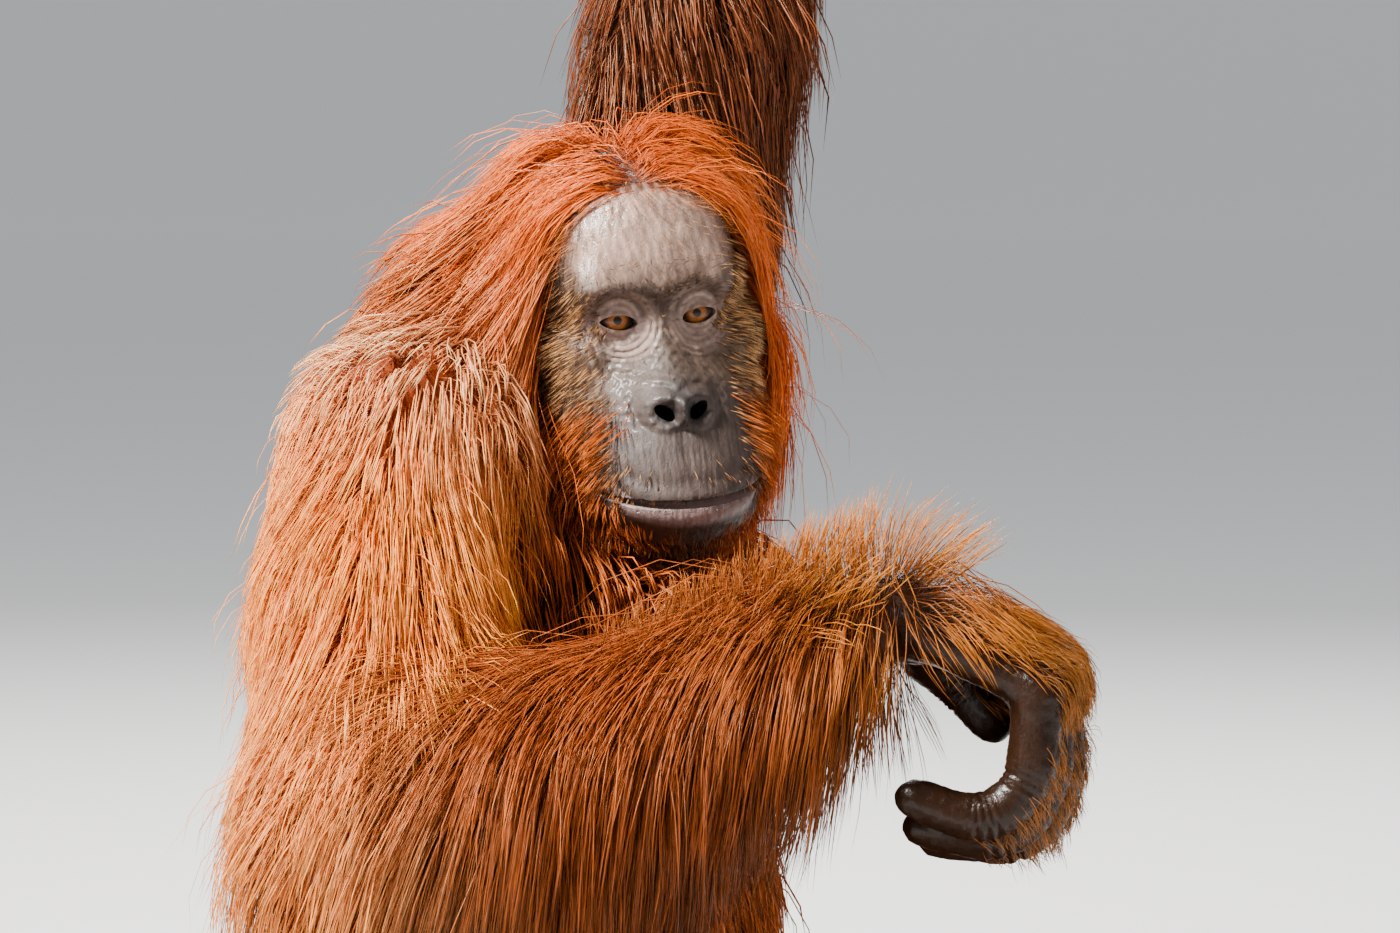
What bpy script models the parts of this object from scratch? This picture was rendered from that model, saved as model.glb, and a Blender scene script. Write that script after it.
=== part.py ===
"""Adult female orangutan, life size, seated on a display base with one arm raised to a cut branch.

Metres, +Z up. The animal faces -Y and its left side is +X. The origin is the centre of the base's
underside. The flesh is a smooth blend of cones and balls set on the joints, each node is parted from
the next by a thin plane cut, and the coat is a shallow core with tapered locks that lie down its length.
"""

import math

import bmesh
import bpy
import numpy as np
from mathutils import Matrix, Vector
from mathutils.kdtree import KDTree

# Driving sizes
BASE_SIZE = (0.84, 0.76, 0.030)
BASE_EDGE = 0.008
FLOOR = BASE_SIZE[2] + 0.0004
GAP = 0.0003
PINCH = 0.00003
BLEND = 0.010
BRANCH_RADIUS = 0.028
ROD_RADIUS = 0.014

# Joint centres
JOINTS = {
    "shoulder_right": (-0.141, 0.077, 0.532),
    "elbow_right": (-0.302, -0.010, 0.327),
    "wrist_right": (-0.074, -0.221, 0.446),
    "shoulder_left": (0.128, 0.088, 0.635),
    "elbow_left": (0.198, 0.072, 0.925),
    "wrist_left": (0.155, 0.012, 1.255),
    "hip_right": (-0.085, 0.080, 0.125),
    "knee_right": (-0.170, -0.090, 0.292),
    "ankle_right": (-0.130, -0.015, 0.088),
    "hip_left": (0.085, 0.080, 0.125),
    "knee_left": (0.300, -0.060, 0.112),
    "ankle_left": (0.110, -0.190, 0.078),
}
JOINTS = {name: np.array(place) for name, place in JOINTS.items()}

# The head turns to the animal's right, tips forward a little and leans to its right
HEAD_CENTRE = np.array((-0.010, 0.005, 0.615))
HEAD_YAW = math.radians(-41.0)
HEAD_PITCH = math.radians(4.0)
HEAD_ROLL = math.radians(-5.0)
EYE_RADIUS = 0.0115
EYE_PLACE = (0.0237, -0.0515, -0.0030)

COLOURS = {
    "coat": (0.55, 0.17, 0.05, 1.0),
    "face": (0.16, 0.13, 0.12, 1.0),
    "hide": (0.09, 0.06, 0.05, 1.0),
    "eye": (0.22, 0.09, 0.03, 1.0),
    "bark": (0.24, 0.17, 0.11, 1.0),
    "base": (0.20, 0.12, 0.07, 1.0),
    "steel": (0.35, 0.35, 0.36, 1.0),
}


def unit(vector):
    """The vector at length one."""
    vector = np.asarray(vector, float)
    return vector / np.linalg.norm(vector)


def head_turn():
    """Rotation from the head's own axes (left, back, up) to the world."""
    yaw = Matrix.Rotation(HEAD_YAW, 3, "Z")
    pitch = Matrix.Rotation(HEAD_PITCH, 3, "X")
    roll = Matrix.Rotation(HEAD_ROLL, 3, "Y")
    return np.array(yaw @ roll @ pitch)


HEAD_TURN = head_turn()


def on_head(place):
    """A place in the head's own axes, in the world."""
    return HEAD_CENTRE + HEAD_TURN @ np.asarray(place, float)


# Shapes of flesh: a cone is a rounded rod between two joints, a ball is an ellipsoid
def cone(start, end, start_radius, end_radius, coat=0.0):
    return {
        "kind": "cone",
        "start": np.asarray(start, float),
        "end": np.asarray(end, float),
        "radii": (start_radius, end_radius),
        "coat": coat,
    }


def ball(centre, radii, coat=0.0, turn=None):
    return {
        "kind": "ball",
        "centre": np.asarray(centre, float),
        "radii": np.asarray(radii, float) * np.ones(3),
        "coat": coat,
        "turn": np.eye(3) if turn is None else turn,
    }


def head_cone(start, end, start_radius, end_radius, coat=0.0):
    return cone(on_head(start), on_head(end), start_radius, end_radius, coat)


def head_ball(centre, radii, coat=0.0):
    return ball(on_head(centre), radii, coat, HEAD_TURN)


def shape_distance(points, shape, share):
    """Distance from the points to one shape grown by that share of its coat."""
    grown = shape["coat"] * share
    if shape["kind"] == "cone":
        start, axis = shape["start"], shape["end"] - shape["start"]
        along = np.clip((points - start) @ axis / (axis @ axis), 0.0, 1.0)
        small, large = shape["radii"]
        away = np.linalg.norm(points - start - along[:, None] * axis, axis=1)
        return away - (small + along * (large - small)) - grown
    radii = shape["radii"] + grown
    local = (points - shape["centre"]) @ shape["turn"]
    near = np.linalg.norm(local / radii, axis=1)
    slope = np.linalg.norm(local / radii**2, axis=1) + 1e-9
    return near * (near - 1.0) / slope


def flesh_distance(points, shapes, share, blend=BLEND):
    """Distance to the smooth blend of the shapes."""
    distances = np.array([shape_distance(points, shape, share) for shape in shapes])
    lowest = distances.min(axis=0)
    return lowest - blend * np.log(np.exp(-(distances - lowest) / blend).sum(axis=0))


def settle(points, shapes, share, blend=BLEND, steps=6, level=0.0):
    """Moves the points on to the blended surface."""
    points = points.copy()
    probe = 0.0005
    for _ in range(steps):
        value = flesh_distance(points, shapes, share, blend) - level
        slope = np.stack(
            [
                flesh_distance(points + probe * axis, shapes, share, blend)
                - flesh_distance(points - probe * axis, shapes, share, blend)
                for axis in np.eye(3)
            ],
            axis=1,
        ) / (2 * probe)
        slope /= np.maximum((slope**2).sum(axis=1), 0.05)[:, None]
        points -= np.clip(value, -0.02, 0.02)[:, None] * slope
    return points


def coordinates(mesh):
    flat = np.empty(len(mesh.vertices) * 3, np.float32)
    mesh.vertices.foreach_get("co", flat)
    return flat.reshape(-1, 3).astype(float)


def move_vertices(mesh, points):
    mesh.vertices.foreach_set("co", np.asarray(points, np.float32).ravel())
    mesh.update()


def linked(name, mesh):
    thing = bpy.data.objects.new(name, mesh)
    bpy.context.scene.collection.objects.link(thing)
    return thing


def from_bmesh(name, bm):
    mesh = bpy.data.meshes.new(name)
    bm.to_mesh(mesh)
    bm.free()
    return linked(name, mesh)


def applied(thing):
    """The object with its modifiers made part of its mesh."""
    graph = bpy.context.evaluated_depsgraph_get()
    mesh = bpy.data.meshes.new_from_object(thing.evaluated_get(graph))
    thing.modifiers.clear()
    if thing.type != "MESH":
        name = thing.name
        bpy.data.objects.remove(thing)
        return linked(name, mesh)
    thing.data = mesh
    return thing


def rough_union(name, shapes, share, voxel):
    """Balls set along every shape, fused by a voxel remesh: the start that settle() refines."""
    bm = bmesh.new()
    for shape in shapes:
        grown = shape["coat"] * share
        if shape["kind"] == "ball":
            turn = Matrix(shape["turn"].tolist()).to_4x4()
            size = Matrix.Diagonal((*(shape["radii"] + grown), 1.0))
            place = Matrix.Translation(shape["centre"]) @ turn @ size
            bmesh.ops.create_icosphere(bm, subdivisions=3, radius=1.0, matrix=place)
            continue
        length = np.linalg.norm(shape["end"] - shape["start"])
        small, large = (radius + grown for radius in shape["radii"])
        count = max(2, int(math.ceil(length / (0.45 * min(small, large)))) + 1)
        for along in np.linspace(0.0, 1.0, count):
            centre = shape["start"] + along * (shape["end"] - shape["start"])
            place = Matrix.Translation(centre)
            radius = small + along * (large - small)
            bmesh.ops.create_icosphere(bm, subdivisions=2, radius=radius, matrix=place)
    thing = from_bmesh(name, bm)
    remesh = thing.modifiers.new("remesh", "REMESH")
    remesh.mode = "VOXEL"
    remesh.voxel_size = voxel
    return applied(thing)


def largest_part(bm):
    """Keeps only the largest closed surface of the bmesh."""
    left, parts = set(bm.verts), []
    while left:
        seed = left.pop()
        part, edge = {seed}, [seed]
        while edge:
            vertex = edge.pop()
            for link in vertex.link_edges:
                other = link.other_vert(vertex)
                if other in left:
                    left.remove(other)
                    part.add(other)
                    edge.append(other)
        parts.append(part)
    parts.sort(key=len, reverse=True)
    extra = [vertex for part in parts[1:] for vertex in part]
    bmesh.ops.delete(bm, geom=extra, context="VERTS")


def nearest_part(bm, seed):
    """Keeps only the connected surface whose middle is nearest to the seed point."""
    left, parts = set(bm.verts), []
    while left:
        first = left.pop()
        part, edge = {first}, [first]
        while edge:
            vertex = edge.pop()
            for link in vertex.link_edges:
                other = link.other_vert(vertex)
                if other in left:
                    left.remove(other)
                    part.add(other)
                    edge.append(other)
        parts.append(part)
    seed = Vector(seed)
    parts = [part for part in parts if len(part) > 12] or parts

    def reach(part):
        middle = sum((vertex.co for vertex in part), Vector()) / len(part)
        return (middle - seed).length

    parts.sort(key=reach)
    extra = [vertex for vertex in bm.verts if vertex not in parts[0]]
    bmesh.ops.delete(bm, geom=extra, context="VERTS")


def decimate(thing, faces):
    """Fewer triangles, kept where the form bends most."""
    thing.data.calc_loop_triangles()
    modifier = thing.modifiers.new("decimate", "DECIMATE")
    modifier.ratio = min(1.0, faces / max(1, len(thing.data.loop_triangles)))
    return applied(thing)


def decimate_round(thing, faces, focus, reach):
    """Decimates with the space about the focus stretched, so that it keeps more triangles there."""
    offset = coordinates(thing.data) - focus
    away = np.linalg.norm(offset, axis=1)[:, None] + 1e-9
    move_vertices(thing.data, offset / away * np.log1p(away / reach))
    thing = decimate(thing, faces)
    offset = coordinates(thing.data)
    away = np.linalg.norm(offset, axis=1)[:, None] + 1e-9
    move_vertices(thing.data, focus + offset / away * reach * np.expm1(away))
    return thing


def part_with_planes(thing, cuts, seed):
    """Cuts the mesh by each plane, drops what lies beyond it, and closes the cut face."""
    bm = bmesh.new()
    bm.from_mesh(thing.data)
    for point, normal in cuts:
        normal = Vector(unit(normal))
        place = Vector(point) - normal * (GAP / 2)
        geometry = bm.verts[:] + bm.edges[:] + bm.faces[:]
        made = bmesh.ops.bisect_plane(
            bm, geom=geometry, dist=1e-6, plane_co=place, plane_no=normal, clear_outer=True
        )
        rim = [part for part in made["geom_cut"] if isinstance(part, bmesh.types.BMEdge)]
        rim = [edge for edge in rim if edge.is_valid and edge.is_boundary]
        bmesh.ops.holes_fill(bm, edges=rim, sides=0)
    nearest_part(bm, seed)
    bmesh.ops.remove_doubles(bm, verts=bm.verts[:], dist=2e-5)
    bmesh.ops.triangulate(bm, faces=bm.faces[:])
    bmesh.ops.recalc_face_normals(bm, faces=bm.faces[:])
    bm.to_mesh(thing.data)
    bm.free()
    return thing


def flesh_node(name, shapes, share, voxel, faces, cuts, seed, blend=BLEND):
    """One node of the body: blended, thinned and parted from its neighbours."""
    thing = rough_union(name, shapes, share, voxel)
    move_vertices(thing.data, settle(coordinates(thing.data), shapes, share, blend))
    return part_with_planes(decimate(thing, faces), cuts, seed)


def tidied(thing):
    """Merges doubled vertices, triangulates, and keeps only the largest closed surface."""
    bm = bmesh.new()
    bm.from_mesh(thing.data)
    for distance in (2e-5, 2e-6, 1e-7):
        merged = bm.copy()
        bmesh.ops.remove_doubles(merged, verts=merged.verts[:], dist=distance)
        if all(edge.is_manifold for edge in merged.edges):
            bm.free()
            bm = merged
            break
        merged.free()
    bmesh.ops.triangulate(bm, faces=bm.faces[:])
    largest_part(bm)
    bm.verts.index_update()
    unpinch(bm)
    bm.to_mesh(thing.data)
    bm.free()
    return thing


def unpinch(bm):
    """Draws apart vertices of two sheets that meet in one point, each towards its own neighbours."""
    tree = KDTree(len(bm.verts))
    for vertex in bm.verts:
        tree.insert(vertex.co, vertex.index)
    tree.balance()
    moves = []
    for vertex in bm.verts:
        if len(tree.find_range(vertex.co, 4 * PINCH / 100)) > 1:
            around = sum((edge.other_vert(vertex).co for edge in vertex.link_edges), Vector())
            away = around / len(vertex.link_edges) - vertex.co
            moves.append((vertex, away.normalized() * PINCH))
    for vertex, move in moves:
        vertex.co += move


def cut_away(thing, cutter):
    """Cuts the object with the cutter, which is removed."""
    modifier = thing.modifiers.new("cut", "BOOLEAN")
    modifier.operation = "DIFFERENCE"
    modifier.solver = "MANIFOLD"
    modifier.object = cutter
    thing = applied(thing)
    bpy.data.objects.remove(cutter)
    return tidied(thing)


def grown_copy(thing, gap):
    """A copy of the object, larger by the gap all round."""
    bm = bmesh.new()
    bm.from_mesh(thing.data)
    bm.normal_update()
    offsets = [vertex.normal * gap for vertex in bm.verts]
    for vertex, offset in zip(bm.verts, offsets):
        vertex.co += offset
    return from_bmesh("grown_copy", bm)


def cut_clear(thing, others, gap=2 * GAP):
    """Cuts the object back so that it stays just clear of the others."""
    for other in others:
        thing = cut_away(thing, grown_copy(other, gap))
    return thing


def ellipsoid(name, centre, radii, turn=None, subdivisions=2):
    bm = bmesh.new()
    turn = Matrix.Identity(4) if turn is None else Matrix(np.asarray(turn).tolist()).to_4x4()
    place = Matrix.Translation(centre) @ turn @ Matrix.Diagonal((*radii, 1.0))
    bmesh.ops.create_icosphere(bm, subdivisions=subdivisions, radius=1.0, matrix=place)
    return from_bmesh(name, bm)


def tube(name, points, radii, resolution=2):
    """A closed round tube through the points, with a radius at each."""
    curve = bpy.data.curves.new(name, "CURVE")
    curve.dimensions = "3D"
    curve.bevel_depth = 1.0
    curve.bevel_resolution = resolution
    curve.use_fill_caps = True
    spline = curve.splines.new("POLY")
    spline.points.add(len(points) - 1)
    for point, place, radius in zip(spline.points, points, radii):
        point.co = (*place, 1.0)
        point.radius = radius
    thing = bpy.data.objects.new(name, curve)
    bpy.context.scene.collection.objects.link(thing)
    thing = applied(thing)
    bm = bmesh.new()
    bm.from_mesh(thing.data)
    bmesh.ops.remove_doubles(bm, verts=bm.verts[:], dist=1e-5)
    bmesh.ops.triangulate(bm, faces=bm.faces[:])
    bmesh.ops.recalc_face_normals(bm, faces=bm.faces[:])
    bm.to_mesh(thing.data)
    bm.free()
    return thing


def smooth_path(points, count):
    """Evenly spaced points on a smooth curve through the given ones."""
    points = np.asarray(points, float)
    padded = np.vstack([2 * points[0] - points[1], points, 2 * points[-1] - points[-2]])
    fine = []
    for i in range(1, len(padded) - 2):
        a, b, c, d = padded[i - 1 : i + 3]
        for t in np.linspace(0.0, 1.0, 12, endpoint=False):
            bend = (2 * a - 5 * b + 4 * c - d) * t**2 + (3 * b - a - 3 * c + d) * t**3
            fine.append(b + 0.5 * ((c - a) * t + bend))
    fine = np.array([*fine, points[-1]])
    steps = np.linalg.norm(np.diff(fine, axis=0), axis=1)
    reach = np.concatenate([[0.0], np.cumsum(steps)])
    at = np.linspace(0.0, reach[-1], count)
    return np.stack([np.interp(at, reach, fine[:, k]) for k in range(3)], axis=1)


def digit(name, joints, radius, count=9, resolution=2):
    """A finger or toe: a tube with thicker knuckles and a rounded tip that ends in its nail."""
    path = smooth_path(joints, count)
    along = np.linspace(0.0, 1.0, count)
    swell = 1.0 + 0.07 * np.cos(2 * math.pi * along * 3) - 0.16 * along
    radii = radius * swell
    tip_direction = unit(path[-1] - path[-2])
    path = np.vstack([path, path[-1] + 0.45 * radius * tip_direction])
    path = np.vstack([path, path[-2] + 0.75 * radius * tip_direction])
    radii = np.concatenate([radii, [0.72 * radii[-1], 0.30 * radii[-1]]])
    return tube(name, path, radii, resolution)


def middle(first, second, share=0.5):
    return (1.0 - share) * np.asarray(first) + share * np.asarray(second)


# Flesh of each region, as radii about the joints with the depth of coat over them
ARM_COAT = 0.030
BACK_COAT = 0.042
LEG_COAT = 0.028
SCALP_COAT = 0.027


def torso_shapes():
    return [
        ball((0.0, 0.104, 0.130), (0.128, 0.098, 0.095), 0.024),
        ball((-0.010, 0.068, 0.250), (0.138, 0.114, 0.125), 0.024),
        ball((-0.006, 0.072, 0.400), (0.136, 0.098, 0.122), 0.030),
        ball((0.0, 0.105, 0.490), (0.108, 0.066, 0.090), BACK_COAT),
        cone((-0.115, 0.078, 0.548), (-0.030, 0.104, 0.592), 0.036, 0.042, 0.030),
        cone((-0.030, 0.104, 0.595), (0.105, 0.096, 0.600), 0.042, 0.036, 0.032),
        ball((0.050, -0.022, 0.412), (0.046, 0.050, 0.050), 0.020),
        ball((-0.056, -0.020, 0.405), (0.046, 0.048, 0.050), 0.020),
    ]


def neck_shapes():
    return [
        cone((0.0, 0.090, 0.560), on_head((0.0, 0.040, -0.045)), 0.058, 0.050, 0.020),
        ball(on_head((0.0, 0.000, -0.112)), (0.048, 0.044, 0.040), 0.012),
    ]


def upper_arm_shapes(side):
    shoulder, elbow = JOINTS["shoulder_" + side], JOINTS["elbow_" + side]
    return [
        ball(shoulder, 0.046, 0.022),
        cone(shoulder, middle(shoulder, elbow, 0.45), 0.046, 0.044, ARM_COAT),
        cone(middle(shoulder, elbow, 0.45), elbow, 0.044, 0.038, ARM_COAT),
    ]


def forearm_shapes(side):
    elbow, wrist = JOINTS["elbow_" + side], JOINTS["wrist_" + side]
    belly = middle(elbow, wrist, 0.30)
    shapes = [
        cone(elbow, belly, 0.038, 0.040, ARM_COAT),
        cone(belly, middle(elbow, wrist, 0.8), 0.040, 0.028, ARM_COAT * 0.9),
        cone(middle(elbow, wrist, 0.8), wrist, 0.028, 0.024, 0.016),
    ]
    if side == "right":
        fall = np.array((-0.010, -0.006, -0.050))
        shapes.append(cone(elbow + fall, middle(elbow, wrist, 0.80) + fall, 0.026, 0.018, 0.030))
    return shapes


def thigh_shapes(side):
    hip, knee = JOINTS["hip_" + side], JOINTS["knee_" + side]
    return [
        cone(hip, middle(hip, knee), 0.072, 0.058, LEG_COAT),
        cone(middle(hip, knee), knee, 0.058, 0.042, LEG_COAT),
    ]


def shin_shapes(side):
    knee, ankle = JOINTS["knee_" + side], JOINTS["ankle_" + side]
    calf = middle(knee, ankle, 0.40)
    return [
        cone(knee, calf, 0.040, 0.040, LEG_COAT),
        cone(calf, ankle, 0.040, 0.027, LEG_COAT * 0.7),
    ]


def skull_shapes():
    """The head in its own axes: x left, y back, z up."""
    shapes = [
        head_ball((0.0, 0.012, 0.018), (0.063, 0.076, 0.064)),
        head_ball((0.0, 0.034, 0.026), (0.058, 0.062, 0.060), SCALP_COAT),
        head_ball((0.0, -0.028, 0.030), (0.049, 0.037, 0.044)),
        head_cone((-0.034, -0.052, 0.016), (0.034, -0.052, 0.016), 0.012, 0.012),
        head_ball((0.0, -0.058, -0.076), (0.047, 0.046, 0.040)),
        head_ball((0.0, -0.083, -0.086), (0.041, 0.029, 0.026)),
        head_cone((0.0, -0.056, -0.002), (0.0, -0.082, -0.043), 0.009, 0.010),
        head_cone((0.0, -0.030, -0.095), (0.0, 0.030, -0.055), 0.040, 0.056, 0.008),
    ]
    for side in (-1, 1):
        shapes += [
            head_cone(
                (side * 0.038, -0.046, -0.026), (side * 0.056, -0.004, -0.018), 0.016, 0.016
            ),
            head_cone(
                (side * 0.032, -0.042, -0.052), (side * 0.046, 0.004, -0.058), 0.024, 0.024, 0.006
            ),
            head_cone(
                (side * 0.045, 0.004, -0.068), (side * 0.014, -0.074, -0.104), 0.021, 0.017, 0.006
            ),
            head_ball((side * 0.0105, -0.088, -0.049), (0.0085, 0.0085, 0.0075)),
        ]
    return shapes


def lip_path(height, forward, half_width, drop):
    """Points along a lip, from one corner of the mouth round the front to the other."""
    places = []
    for turn in np.linspace(-1.0, 1.0, 13):
        side = half_width * math.sin(turn * math.pi / 2)
        back = forward * (1.0 - math.cos(turn * math.pi / 2))
        places.append((side, back, height + drop * turn**2))
    return np.array(places)


MOUTH = {"height": -0.101, "front": -0.1130, "forward": 0.058, "half_width": 0.0400, "drop": 0.010}


def mouth_line(height_shift=0.0, inward=0.0):
    """The line of the mouth in the head's own axes."""
    path = lip_path(
        MOUTH["height"] + height_shift, MOUTH["forward"], MOUTH["half_width"], MOUTH["drop"]
    )
    path[:, 1] += MOUTH["front"] + inward
    return path


def lip_shapes():
    shapes = []
    lower = mouth_line(-0.0085, 0.0095)
    upper = mouth_line(0.0060, 0.0085)
    for line, size in ((lower, 0.0085), (upper, 0.0070)):
        for start, end in zip(line[1:-2], line[2:-1]):
            shapes.append(head_cone(start, end, size, size))
    return shapes


def build_head(share):
    shapes = skull_shapes() + lip_shapes() + neck_shapes()
    blend = 0.006
    head = rough_union("head", shapes, share, 0.0036)
    move_vertices(head.data, settle(coordinates(head.data), shapes, share, blend))
    local = (coordinates(head.data) - HEAD_CENTRE) @ HEAD_TURN
    for side in (-1, 1):
        eye = np.array(EYE_PLACE) * (side, 1, 1)
        reach = np.linalg.norm((local - eye)[:, [0, 2]], axis=1)
        front = local[:, 1] < -0.03
        hollow = 0.0045 * np.exp(-((reach / 0.018) ** 2)) * front
        local[:, 1] += hollow
        lid_radius = EYE_RADIUS + 0.0020
        lid = eye[1] - np.sqrt(np.maximum(lid_radius**2 - reach**2, 0.0))
        over = front & (reach < lid_radius * 0.96)
        local[over, 1] = np.minimum(local[over, 1], lid[over])
    move_vertices(head.data, HEAD_CENTRE + local @ HEAD_TURN.T)
    head = decimate_round(head, 1800, on_head((0.0, -0.085, -0.045)), 0.045)
    return head, shapes, blend


def carve_face(head, shapes, share, blend):
    """Cuts the slits of the lids, the nostrils and the line of the mouth."""
    cutters = []
    for side in (-1, 1):
        eye = np.array(EYE_PLACE) * (side, 1, 1)
        slit = eye + (0.0, -0.0100, 0.0002)
        cutters.append(ellipsoid("slit", on_head(slit), (0.0108, 0.009, 0.0042), HEAD_TURN))
        nostril = (side * 0.0078, -0.0965, -0.0535)
        cutters.append(
            ellipsoid("nostril", on_head(nostril), (0.0042, 0.0080, 0.0048), HEAD_TURN, 1)
        )
    line = np.array([on_head(place) for place in mouth_line()])
    line = settle(line, shapes, share, blend)
    line = smooth_path(line[1:-1], 15)
    cutters.append(tube("mouth_cut", line, [0.0019] * len(line), 1))
    for cutter in cutters:
        head = cut_away(head, cutter)
    return head


def build_eyes():
    eyes = []
    for side, name in ((-1, "eye_right"), (1, "eye_left")):
        centre = on_head(np.array(EYE_PLACE) * (side, 1, 1))
        eyes.append(ellipsoid(name, centre, (EYE_RADIUS,) * 3, HEAD_TURN, 2))
    return eyes


def build_ear(side, name, shapes, share):
    """A small flat ear with its cup hollowed out, set on the side of the head."""
    place = on_head((side * 0.0900, 0.010, -0.014))
    centre = settle(place[None, :], shapes, share, 0.006, level=0.0008)[0]
    flare = np.array(Matrix.Rotation(math.radians(-28.0 * side), 3, "Z"))
    turn = HEAD_TURN @ flare
    ear = ellipsoid(name, centre, (0.0075, 0.0155, 0.0210), turn, 2)
    cup_place = centre + turn @ np.array((side * 0.0070, -0.0015, 0.0010))
    cup = ellipsoid("cup", cup_place, (0.0050, 0.0105, 0.0150), turn, 2)
    return cut_away(ear, cup)


# Hands and feet
RIGHT_HAND_OUT = unit((0.5736, -0.8192, 0.0))
RIGHT_HAND_SIDE = np.array((-0.8172, -0.5722, 0.0698))
RIGHT_HAND_UP = np.array((0.0571, 0.0400, 0.9976))
FINGER_SPACING = 0.0242
FINGER_SCALES = (0.93, 1.00, 0.97, 0.86)
FINGER_LENGTHS = (0.059, 0.038, 0.047)
FINGER_RADIUS = 0.0111


def in_hand_plane(slope, length):
    """A step in the plane of the right hand's curl, sloping down from the way out."""
    angle = math.radians(slope)
    return length * (math.cos(angle) * RIGHT_HAND_OUT - math.sin(angle) * RIGHT_HAND_UP)


def right_hand_joints():
    """The wrist, and for each finger from the index to the little one its knuckles and tip."""
    wrist = JOINTS["wrist_right"]
    slopes = ((20, 80, 112, 168), (22, 87, 126, 180), (24, 91, 131, 186), (27, 97, 140, 196))
    fingers = []
    for i, (palm, first, second, third) in enumerate(slopes):
        side = (i - 1.5) * FINGER_SPACING * RIGHT_HAND_SIDE
        root = wrist + 0.45 * side + in_hand_plane(palm, 0.012)
        knuckle = wrist + side + in_hand_plane(palm, 0.096 - 0.004 * abs(i - 1))
        chain = [root, knuckle]
        for slope, length in zip((first, second, third), FINGER_LENGTHS):
            chain.append(chain[-1] + in_hand_plane(slope, length * FINGER_SCALES[i]))
        fingers.append(chain)
    return fingers


def right_thumb_joints():
    wrist = JOINTS["wrist_right"]
    root = wrist - 0.030 * RIGHT_HAND_SIDE + in_hand_plane(52, 0.028)
    knuckle = root - 0.004 * RIGHT_HAND_SIDE + in_hand_plane(40, 0.030)
    tip = knuckle + in_hand_plane(52, 0.028)
    return [root, knuckle, tip]


# The left hand is wrapped over the branch
BRANCH_ALONG = unit((0.530, 0.848, 0.0))
LEFT_PALM_FACES = unit((0.848, -0.530, 0.0))
PALM_THICKNESS = 0.0140
WRAP_RADIUS = BRANCH_RADIUS + FINGER_RADIUS + 0.0008
BRANCH_CENTRE = JOINTS["wrist_left"] + LEFT_PALM_FACES * (BRANCH_RADIUS + PALM_THICKNESS)
BRANCH_CENTRE = BRANCH_CENTRE + np.array((0.0, 0.0, 0.098))


def left_hand_joints():
    """Fingers that rise along the palm, then follow a circle round the branch."""
    fingers = []
    up = np.array((0.0, 0.0, 1.0))
    for i, scale in enumerate(FINGER_SCALES):
        side = (i - 1.5) * FINGER_SPACING * BRANCH_ALONG
        root = JOINTS["wrist_left"] + 0.45 * side + 0.012 * up
        turn_total = sum(FINGER_LENGTHS) * scale / WRAP_RADIUS
        chain = [root]
        for turn in np.linspace(0.0, turn_total, 8):
            outward = -math.cos(turn) * LEFT_PALM_FACES + math.sin(turn) * up
            chain.append(BRANCH_CENTRE + side + WRAP_RADIUS * outward)
        fingers.append(chain)
    return fingers


def left_thumb_joints():
    """The short thumb lies along the near side of the branch and turns over it."""
    up = np.array((0.0, 0.0, 1.0))
    side = -0.0605 * BRANCH_ALONG
    root = JOINTS["wrist_left"] - 0.034 * BRANCH_ALONG + 0.032 * up
    chain = [root]
    for turn in np.linspace(math.radians(-20), math.radians(58), 4):
        outward = -math.cos(turn) * LEFT_PALM_FACES + math.sin(turn) * up
        chain.append(BRANCH_CENTRE + side + (WRAP_RADIUS + 0.0006) * outward)
    return chain


def palm_shapes(fingers, thumb, wrist, coat):
    shapes = [
        cone(chain[0], chain[1], 0.0150, 0.0128, coat if i < 4 else 0.0)
        for i, chain in enumerate(fingers)
    ]
    shapes.append(cone(wrist, middle(fingers[1][0], fingers[2][0]), 0.024, 0.020, coat))
    shapes.append(cone(middle(wrist, thumb[0], 0.4), thumb[0], 0.016, 0.0115, 0.0))
    return shapes


FOOT_LENGTH = 0.250
TOE_SPACING = 0.0185
TOE_SCALES = (1.0, 1.0, 0.94, 0.84)
TOE_RADIUS = 0.0084
FEET = {
    "right": {
        "heel": np.array((-0.124, 0.018, FLOOR + 0.026)),
        "ahead": unit((-0.177, -0.984, 0.0)),
        "dorsal": np.array((0.0, 0.0, 1.0)),
        "curl": 10.0,
    },
    "left": {
        "heel": np.array((0.126, -0.166, FLOOR + 0.030)),
        "ahead": unit((-0.60, -0.80, 0.0)),
        "dorsal": unit((0.80, -0.60, 0.0)),
        "curl": 26.0,
    },
}


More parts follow.
